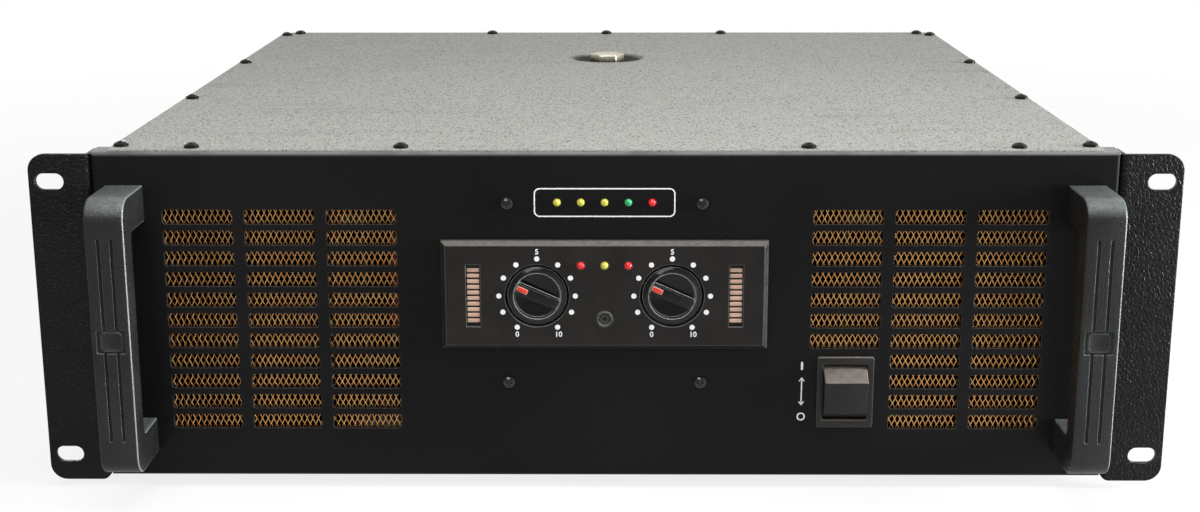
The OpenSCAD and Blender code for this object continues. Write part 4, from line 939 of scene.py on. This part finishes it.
# %% Knob
PANEL_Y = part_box("fascia")[0].y
KNOB_SPOT = centre_of("volume_knob_a")
KNOB_STEP = centre_of("volume_knob_b").x - KNOB_SPOT.x
KNOB_SPOT.y = PANEL_Y
BAR_WIDE = 4.4 * MM
POINTER_TURN = -66
KNOB_PROFILE = in_mm([
    (0, -2.4), (8.9, -2.4), (9.5, -2.7), (9.7, -4.4), (9.85, -4.7), (10.1, -4.75), (10.5, -4.5),
    (11.7, -3.5), (12.1, -3.35), (12.5, -3.2), (12.7, -2.8), (12.7, -0.7), (12.4, -0.4), (6.0, -0.4),
    (6.0, 2.4), (3.05, 2.4), (3.05, -2.1), (0, -2.1)])
BAR_OUTLINE = in_mm([
    (-2.2, 9.6), (-4.7, 9.6), (-4.95, 9.3), (-5.15, 8.0), (-5.35, 5.5), (-5.47, 2.8), (-5.5, 0),
    (-5.46, -2.8), (-5.3, -5.5), (-5.05, -7.6), (-4.7, -9.0), (-4.3, -9.5), (-2.2, -9.6)])
POINTER_LOW = Vector((-0.95, -5.55, 4.6)) * MM
POINTER_HIGH = Vector((0.95, -4.9, 9.0)) * MM
POINTER_RED = moulded("pointer_red", (0.78, 0.045, 0.02), 0.35)


def make_knob():
    """A dished knob with its grip bar and pointer, turned to its rest."""
    rim = spun("rim", KNOB_PROFILE, KNOB_SPOT, steps=96)
    side = [(KNOB_SPOT.y + depth, KNOB_SPOT.z + along) for depth, along in BAR_OUTLINE]
    bar = prism("bar", side, KNOB_SPOT.x - BAR_WIDE / 2, KNOB_SPOT.x + BAR_WIDE / 2)
    soften(bar, 1.5 * MM, 6, 50)
    pointer = soft_block("pointer", KNOB_SPOT + POINTER_LOW, KNOB_SPOT + POINTER_HIGH, 0.12 * MM, POINTER_RED)
    for piece in (rim, bar):
        set_finish(piece, FINISHES["knob_black"])
    for piece in (bar, pointer):
        turned(piece, KNOB_SPOT, "Y", POINTER_TURN)
    return joined("dished_knob_a", [pointer, bar, rim])


knob_a = make_knob()
knob_b = moved_copy(knob_a, (KNOB_STEP, 0, 0))
knob_b.name = knob_b.data.name = "dished_knob_b"
hand_over(knob_a, "knob_a", "knob_black", "volume_knob_a", smooth=30)
hand_over(knob_b, "knob_b", "knob_black", "volume_knob_b", smooth=30)

# %% [markdown]
# ## Printed marks
# The front carries a little screen print: dots and numbers round each dial, a
# thin line round the row of lamps, and the two marks of the power switch. Ink
# is very thin, so each mark starts as a flat face a few hundredths of a
# millimetre in front of its panel, and is then thickened back into it. Numbers
# start as text and are made a mesh, because a finished piece keeps its place in
# its mesh.

# %% Ink helpers
INK_LIFT = 0.03 * MM
INK_THICK = 0.05 * MM
PANEL_INK = PANEL_Y - INK_LIFT
PLATE_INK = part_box("control_plate")[0].y - INK_LIFT
DOT_RADIUS = 1.12 * MM
NUMBER_TALL = 3.2 * MM


def ink_dot(x, z):
    """A flat round dot in front of the control plate."""
    return fresh("dot", bpy.ops.mesh.primitive_circle_add, vertices=24, radius=DOT_RADIUS, fill_type="NGON",
                 location=(x, PLATE_INK, z), rotation=FACING_OUT)


def ink_number(words, x, z):
    """A number in front of the control plate, centred on a point."""
    bpy.ops.object.select_all(action="DESELECT")
    bpy.ops.object.text_add(location=(x, PLATE_INK, z), rotation=FACING_OUT)
    text = bpy.context.object
    text.data.body = words
    text.data.size = NUMBER_TALL
    text.data.offset = NUMBER_TALL * 0.02
    text.data.align_x = text.data.align_y = "CENTER"
    bpy.ops.object.convert(target="MESH")
    settle()
    return bpy.context.object


def ink_panel(x, z, wide, tall):
    """A rectangle on the front panel, round a point."""
    return fresh("mark", bpy.ops.mesh.primitive_plane_add, (wide, tall, 1), size=1,
                 location=(x, PANEL_INK, z), rotation=FACING_OUT)


def ink_outline(x, z, wide, tall, corner, line):
    """The outline of a rectangle with round corners, on the front panel."""
    piece = ink_panel(x, z, wide, tall)
    edit_whole()
    bpy.ops.mesh.bevel(offset=corner, segments=8, affect="VERTICES")
    pick_all()
    bpy.ops.mesh.inset(thickness=line)
    bpy.ops.mesh.delete(type="FACE")
    close_edit()
    return piece


def hand_over_ink(name, marks):
    """Joins the marks into one printed piece on the case."""
    piece = joined(name, marks)
    apply_modifier(piece, "SOLIDIFY", thickness=INK_THICK, offset=-1)
    set_finish(piece, PRINT_WHITE)
    hand_over(piece, "case", None)


print("ink helpers ready")

# %% Dials
DOT_RING = 16.15 * MM
DOT_TURNS = (238, 206, 180, 151, 123, 90, 57, 29, 0, -26, -58)


def dial_marks(name, x, z):
    """The dots and the numbers 0, 5 and 10 round one knob."""
    turns = [math.radians(degrees) for degrees in DOT_TURNS]
    marks = [ink_dot(x + DOT_RING * math.cos(t), z + DOT_RING * math.sin(t)) for t in turns]
    across, below = DOT_RING * math.cos(turns[0]), z + DOT_RING * math.sin(turns[0]) - 3.2 * MM
    marks += [ink_number("0", x + across, below), ink_number("10", x - across + 0.4 * MM, below),
              ink_number("5", x, z + DOT_RING + 2.95 * MM)]
    hand_over_ink(name, marks)


dial_marks("dial_print_a", KNOB_SPOT.x, KNOB_SPOT.z)
dial_marks("dial_print_b", KNOB_SPOT.x + KNOB_STEP, KNOB_SPOT.z)

# %% Line round the lamps, and the switch marks
ROW_Z = centre_of("lamp_green").z
ROW_SIZE = (59.4 * MM, 12.4 * MM)
SWITCH_Z = centre_of("power_switch_body").z
MARK_X = SWITCH_LOW.x - 6.4 * MM
MARK_UP = 11.4 * MM
MARK_TALL = 3.6 * MM
ARROW_TIP = 6.1 * MM
BARB_TURN = 35


def switch_marks():
    """A bar for on, a ring for off, and a double arrow between them."""
    bar = ink_panel(MARK_X, SWITCH_Z + MARK_UP, 0.9 * MM, MARK_TALL)
    ring = ink_outline(MARK_X, SWITCH_Z - MARK_UP, MARK_TALL, MARK_TALL, 1.75 * MM, 0.6 * MM)
    shaft = ink_panel(MARK_X, SWITCH_Z, 0.5 * MM, 11 * MM)
    barbs = []
    for end_turn in (0, 180):
        for lean in (BARB_TURN, -BARB_TURN):
            barb = ink_panel(MARK_X, SWITCH_Z + 5.2 * MM, 0.4 * MM, 2 * MM)
            turned(barb, (MARK_X, PANEL_INK, SWITCH_Z + ARROW_TIP), "Y", lean)
            barbs.append(turned(barb, (MARK_X, PANEL_INK, SWITCH_Z), "Y", end_turn))
    hand_over_ink("switch_print", [bar, ring, shaft, *barbs])


hand_over_ink("lamp_row_print", [ink_outline(0, ROW_Z, *ROW_SIZE, 2.5 * MM, 0.55 * MM)])
switch_marks()

# %% [markdown]
# ## Level meters
# Each meter is a black block behind a window, with ten small tan bars on its
# face. One bar is modelled with soft edges and copied down the block, each
# copy with its own mesh, and the block keeps the depth that it has behind the
# plate.

# %% Meters
METER_LOW, METER_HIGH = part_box("meter_blocks")
METER_SIDE = 4.5 * MM
METER_X = METER_HIGH.x - METER_SIDE
METER_Z = centre_of("meter_blocks").z
SEGMENTS = 10
SEGMENT_PITCH = 2.45 * MM
SEGMENT_SIZE = (5.2 * MM, 0.55 * MM, 1.62 * MM)
METER_DARK = moulded("meter_dark", (0.012, 0.010, 0.009), 0.5)


def make_meter(name, x):
    """One meter: its face, the block behind the plate, and the bars."""
    middle = Vector((x, 0, METER_Z))
    face = corners(middle, 2.8 * MM, 13.3 * MM, METER_LOW.y + 0.5 * MM, PANEL_Y)
    behind = corners(middle, METER_SIDE, (METER_HIGH.z - METER_LOW.z) / 2, PANEL_Y - 2 * MM, METER_HIGH.y)
    front = soft_block("front", *face, 0.15 * MM, METER_DARK)
    back = soft_block("back", *behind, 0.15 * MM, METER_DARK)
    half = Vector(SEGMENT_SIZE) / 2
    spot = Vector((x, METER_LOW.y + half.y, METER_Z + (SEGMENTS - 1) / 2 * SEGMENT_PITCH))
    bar = soft_block("bar", spot - half, spot + half, 0.16 * MM, FINISHES["meter_tan"])
    bars = [bar] + [moved_copy(bar, (0, 0, -i * SEGMENT_PITCH)) for i in range(1, SEGMENTS)]
    hand_over(joined(name, [*bars, front, back]), "case", "meter_tan", "meter_blocks")


make_meter("level_meter_a", -METER_X)
make_meter("level_meter_b", METER_X)

# %% [markdown]
# ## Push button
# The small button between the knobs is turned too: a round outer lip and a
# recessed middle, on a stem that reaches the board behind.

# %% Button
BUTTON_PROFILE = in_mm([
    (0, -3.7), (1.2, -3.7), (1.35, -3.85), (1.6, -3.85), (1.75, -3.65), (2.35, -3.65), (2.6, -4.45),
    (2.8, -4.75), (3.15, -4.8), (3.45, -4.6), (3.6, -4.1), (3.6, -1.6), (4.3, -1.6), (4.4, -1.5),
    (4.4, -0.9), (4.3, -0.8), (1.75, -0.8), (1.75, 8.5), (1.6, 8.6), (0, 8.6)])
button_spot = (0, PANEL_Y, centre_of("push_button").z)
hand_over(spun("dished_button", BUTTON_PROFILE, button_spot), "push_button", "control_plastic", "push_button",
          smooth=35)

# %% [markdown]
# ## Power switch
# The rocker has a short upper face and a long lower one that meet in a ridge,
# and its pressed end sits in the bezel. Its side outline is drawn, with the
# lower face a little hollow, given its width and softened. The bezel is a block
# with a rounded well, in front of the body that holds the terminals.

# %% Rocker and bezel
PIVOT = Vector((centre_of("power_switch_body").x, PANEL_Y + 4 * MM, SWITCH_Z))
ROCKER_HALF = 9.3 * MM
ROCKER_ROUND = 12.2 * MM
HOLLOW = in_mm([(-12.0, 6.4), (-12.2, 5.6), (-11.0, 1.4), (-10.1, -2.6), (-9.4, -5.6)])
BODY_HALF = (10.8 * MM, 14.3 * MM)
WELL_HALF = (9.45 * MM, 12.45 * MM)
TAB_HALF = (0.4 * MM, 3.15 * MM)
TAB_SPOTS = [Vector((across, 0, up)) * MM for across in (-5, 5) for up in (-9, 0, 9)]

lower_end = arc((0, 0), ROCKER_ROUND, 223, 262, 8)
upper_end = arc((0, 0), ROCKER_ROUND, 88, 109, 5)
rocker_side = [*HOLLOW, *lower_end, (5 * MM, -9 * MM), (5 * MM, 9 * MM), *upper_end]
rocker = prism("rocker", [(PIVOT.y + y, PIVOT.z + z) for y, z in rocker_side], PIVOT.x - ROCKER_HALF,
               PIVOT.x + ROCKER_HALF)
soften(rocker, 0.45 * MM, 3, 28)
pin = fresh("pin", bpy.ops.mesh.primitive_cylinder_add, vertices=24, radius=1.5 * MM, depth=20.2 * MM,
            location=PIVOT, rotation=ALONG_X)
soften(pin, 0.3 * MM, 2)
hand_over(joined("soft_rocker", [pin, rocker]), "power_rocker", "switch_black", "power_rocker", smooth=30)


def well_cutter(margin):
    """The cutter of the well, a little wider by the margin."""
    halves = [half + margin for half in WELL_HALF]
    return slot_cutter("well_cutter", *corners(PIVOT, *halves, PANEL_Y - 4 * MM, PANEL_Y + 18 * MM), 0.5 * MM)


bezel = slot_cutter("bezel", SWITCH_LOW, (SWITCH_HIGH.x, PANEL_Y, SWITCH_HIGH.z), 0.8 * MM)
cut(bezel, well_cutter(0))
soften(bezel, 0.45 * MM, 3, 50)
housing = block("housing", *corners(PIVOT, *BODY_HALF, PANEL_Y - 0.4 * MM, PANEL_Y + 27 * MM))
cut(housing, well_cutter(0.02 * MM))
tabs = [soft_block("tab", *corners(PIVOT + spot, *TAB_HALF, PANEL_Y + 26.8 * MM, SWITCH_HIGH.y), 0.15 * MM,
                   FINISHES["plated"]) for spot in TAB_SPOTS]
for piece in (bezel, housing):
    set_finish(piece, FINISHES["switch_black"])
hand_over(joined("switch_bezel", [*tabs, housing, bezel]), "case", "switch_black", "power_switch_body",
          smooth=30)

# %% [markdown]
# ## Feet
# Each foot is a turned rubber puck with round edges and a recess for its
# screw. The profile is a closed loop, so the recess comes with it.

# %% Feet
FOOT_LOW, FOOT_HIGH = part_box("rubber_feet")
FOOT_RADIUS = 12 * MM
FOOT_PROFILE = in_mm([
    (4.2, 0), (10.9, 0), (11.6, 0.25), (12, 0.9), (12, 7.0), (11.7, 7.5), (11.1, 7.8), (2.1, 7.8), (2.1, 3.8),
    (4.0, 3.8), (4.2, 3.6), (4.2, 0)])
feet = [spun("foot", FOOT_PROFILE, (x, y, 0), axis="Z")
        for x in (FOOT_LOW.x + FOOT_RADIUS, FOOT_HIGH.x - FOOT_RADIUS)
        for y in (FOOT_LOW.y + FOOT_RADIUS, FOOT_HIGH.y - FOOT_RADIUS)]
hand_over(joined("turned_feet", feet), "case", "rubber_black", "rubber_feet", smooth=35)

# %% [markdown]
# ## Fans at the back
# A finger guard is bent from round wire: rings on four spokes that end in
# lugs. Rings are tori and spokes are rods, so the wire looks like wire. The
# rotor has a domed hub and seven blades. One blade is extruded outwards in
# steps, each step turned a little, which gives the twist that a real blade
# has, and then it is copied round the hub.

# %% Finger guards
GUARD_LOW, GUARD_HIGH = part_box("fan_guards")
ROTOR_LOW, ROTOR_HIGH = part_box("fan_rotor_right")
FAN_X = centre_of("fan_rotor_right").x - 0.2 * MM
FAN_Z = centre_of("fan_guards").z
WIRE_RADIUS = 1.0 * MM
RING_RADII = (10, 18, 26, 34)
LUG_PROFILE = in_mm([(2.2, 0), (3.7, 0), (4.0, 0.3), (4.0, 1.3), (3.7, 1.6), (2.2, 1.6), (2.2, 0)])
SCREW_APART = 71.5 * MM


def spoke(centre, degrees, near, far, radius):
    """A wire spoke in the plane of the back, between two distances from the centre."""
    middle = centre + Vector(((near + far) / 2, 0, 0))
    piece = fresh("spoke", bpy.ops.mesh.primitive_cylinder_add, vertices=16, radius=radius, depth=far - near,
                  location=middle, rotation=ALONG_X)
    soften(piece, radius * 0.4, 2)
    return turned(piece, centre, "Y", degrees)


def make_guard(name, x):
    """Rings, spokes and lugs of one finger guard."""
    ring_spot = (x, GUARD_HIGH.y - WIRE_RADIUS, FAN_Z)
    pieces = [fresh("ring", bpy.ops.mesh.primitive_torus_add, location=ring_spot, rotation=FACING_OUT,
                    major_radius=radius * MM, minor_radius=WIRE_RADIUS, major_segments=72, minor_segments=12)
              for radius in RING_RADII]
    spoke_spot = Vector((x, GUARD_LOW.y + 1.3 * MM, FAN_Z))
    reach = SCREW_APART / math.sqrt(2)
    for degrees in (45, 135, 225, 315):
        way = math.radians(degrees)
        lug_spot = (x + reach * math.cos(way), GUARD_LOW.y, FAN_Z - reach * math.sin(way))
        pieces.append(spoke(spoke_spot, degrees, 9 * MM, reach - 3.7 * MM, 0.9 * MM))
        pieces.append(spun("lug", LUG_PROFILE, lug_spot, steps=32))
    hand_over(joined(name, pieces), "case", "guard_wire", "fan_guards", smooth=35)


make_guard("wire_guard_left", -FAN_X)
make_guard("wire_guard_right", FAN_X)

# %% Rotors
ROTOR_Y = centre_of("fan_rotor_right").y
BLADES = 7
BLADE_ROOT = 15.6 * MM
BLADE_TIP = 34.3 * MM
BLADE_STEPS = 7
BLADE_CHORD = 14.5 * MM
BLADE_THICK = 1.4 * MM
BLADE_PITCH = 46
BLADE_TWIST = 2.6
HUB_HALF = (ROTOR_HIGH.y - ROTOR_LOW.y) / 2 / MM
HUB_PROFILE = in_mm([
    (1.55, -HUB_HALF), (15.6, -HUB_HALF), (16.7, -HUB_HALF + 0.5), (17, -HUB_HALF + 1.4),
    (17, HUB_HALF - 1.4), (16.6, HUB_HALF - 0.4), (15.6, HUB_HALF), (1.55, HUB_HALF), (1.55, -HUB_HALF)])


def make_rotor(side, x):
    """One rotor: a domed hub with twisted blades round it."""
    centre = Vector((x, ROTOR_Y, FAN_Z))
    hub = spun("hub", HUB_PROFILE, centre)
    root = centre + Vector((BLADE_ROOT, 0, 0))
    half = Vector((0, BLADE_THICK / 2, BLADE_CHORD / 2))
    blade = block("blade", root - half - Vector((MM, 0, 0)), root + half)
    turned(blade, centre, "X", BLADE_PITCH)
    edit(blade)
    pick_faces(blade, lambda mid, n: n.x > ALIGNED)
    for _ in range(BLADE_STEPS):
        extrude(((BLADE_TIP - BLADE_ROOT) / BLADE_STEPS, 0, 0))
        bpy.ops.transform.rotate(value=math.radians(BLADE_TWIST), orient_axis="X", center_override=centre)
    close_edit()
    soften(blade, 0.35 * MM, 2, 50)
    around = [blade]
    for i in range(1, BLADES):
        around.append(turned(moved_copy(blade, (0, 0, 0)), centre, "Y", i * 360 / BLADES))
    rotor = joined("bladed_rotor_" + side, [*around, hub])
    hand_over(rotor, "rotor_" + side, "fan_black", "fan_rotor_" + side, smooth=35)


make_rotor("left", -FAN_X)
make_rotor("right", FAN_X)

# %% [markdown]
# ## The bolt in the lid
# A big bolt comes up through the lid and holds the transformer. Its head
# starts as a six-sided cylinder, and a bevel over the top edge gives the
# turned chamfer. The washer and the shank are spun. The washer is dull, and
# painted darker as painted shade in the dish, against the yellowish head, so
# each keeps its own finish.

# %% Lid bolt
HEAD_ACROSS = 17 * MM
HEAD_TALL = 6.4 * MM
WASHER_TOP = BOLT_HIGH.z - HEAD_TALL
WASHER_PROFILE = [(radius, WASHER_TOP + depth) for radius, depth in in_mm([
    (5.2, 0), (5.2, -2), (10.3, -2), (10.5, -1.8), (10.5, -0.4), (10.1, 0), (5.2, 0)])]
SHANK_TOP = WASHER_TOP + 0.1 * MM
SHANK_PROFILE = [(0, BOLT_LOW.z), (4.2 * MM, BOLT_LOW.z), (5 * MM, BOLT_LOW.z + MM), (5 * MM, SHANK_TOP),
                 (0, SHANK_TOP)]


def lid_bolt():
    """The hexagon head, its shank, and its dull washer, painted darker as shade in the dish."""
    head = fresh("head", bpy.ops.mesh.primitive_cylinder_add, vertices=6, radius=HEAD_ACROSS / math.sqrt(3),
                 depth=HEAD_TALL, location=(*BOLT_SPOT[:2], WASHER_TOP + HEAD_TALL / 2),
                 rotation=(0, 0, math.radians(30)))
    edit(head)
    pick_faces(head, lambda mid, n: n.z > ALIGNED)
    bpy.ops.mesh.inset(thickness=1.5 * MM, depth=0)
    bpy.ops.mesh.inset(thickness=0.5 * MM, depth=-0.3 * MM)
    close_edit()
    soften(head, 0.7 * MM, 3, 40)
    shank = spun("shank", SHANK_PROFILE, BOLT_SPOT, axis="Z", steps=48)
    washer = spun("washer", WASHER_PROFILE, BOLT_SPOT, axis="Z", steps=48)
    for piece in (head, shank):
        set_finish(piece, FINISHES["bolt_zinc"])
    # the washer is painted dark: a dull plating, with painted shade of the dish
    set_finish(washer, plated("washer_with_painted_shade", (0.11, 0.105, 0.09), 0.45))
    return joined("hex_bolt", [washer, shank, head])


hand_over(lid_bolt(), "case", "bolt_zinc", "centre_bolt", smooth=30)
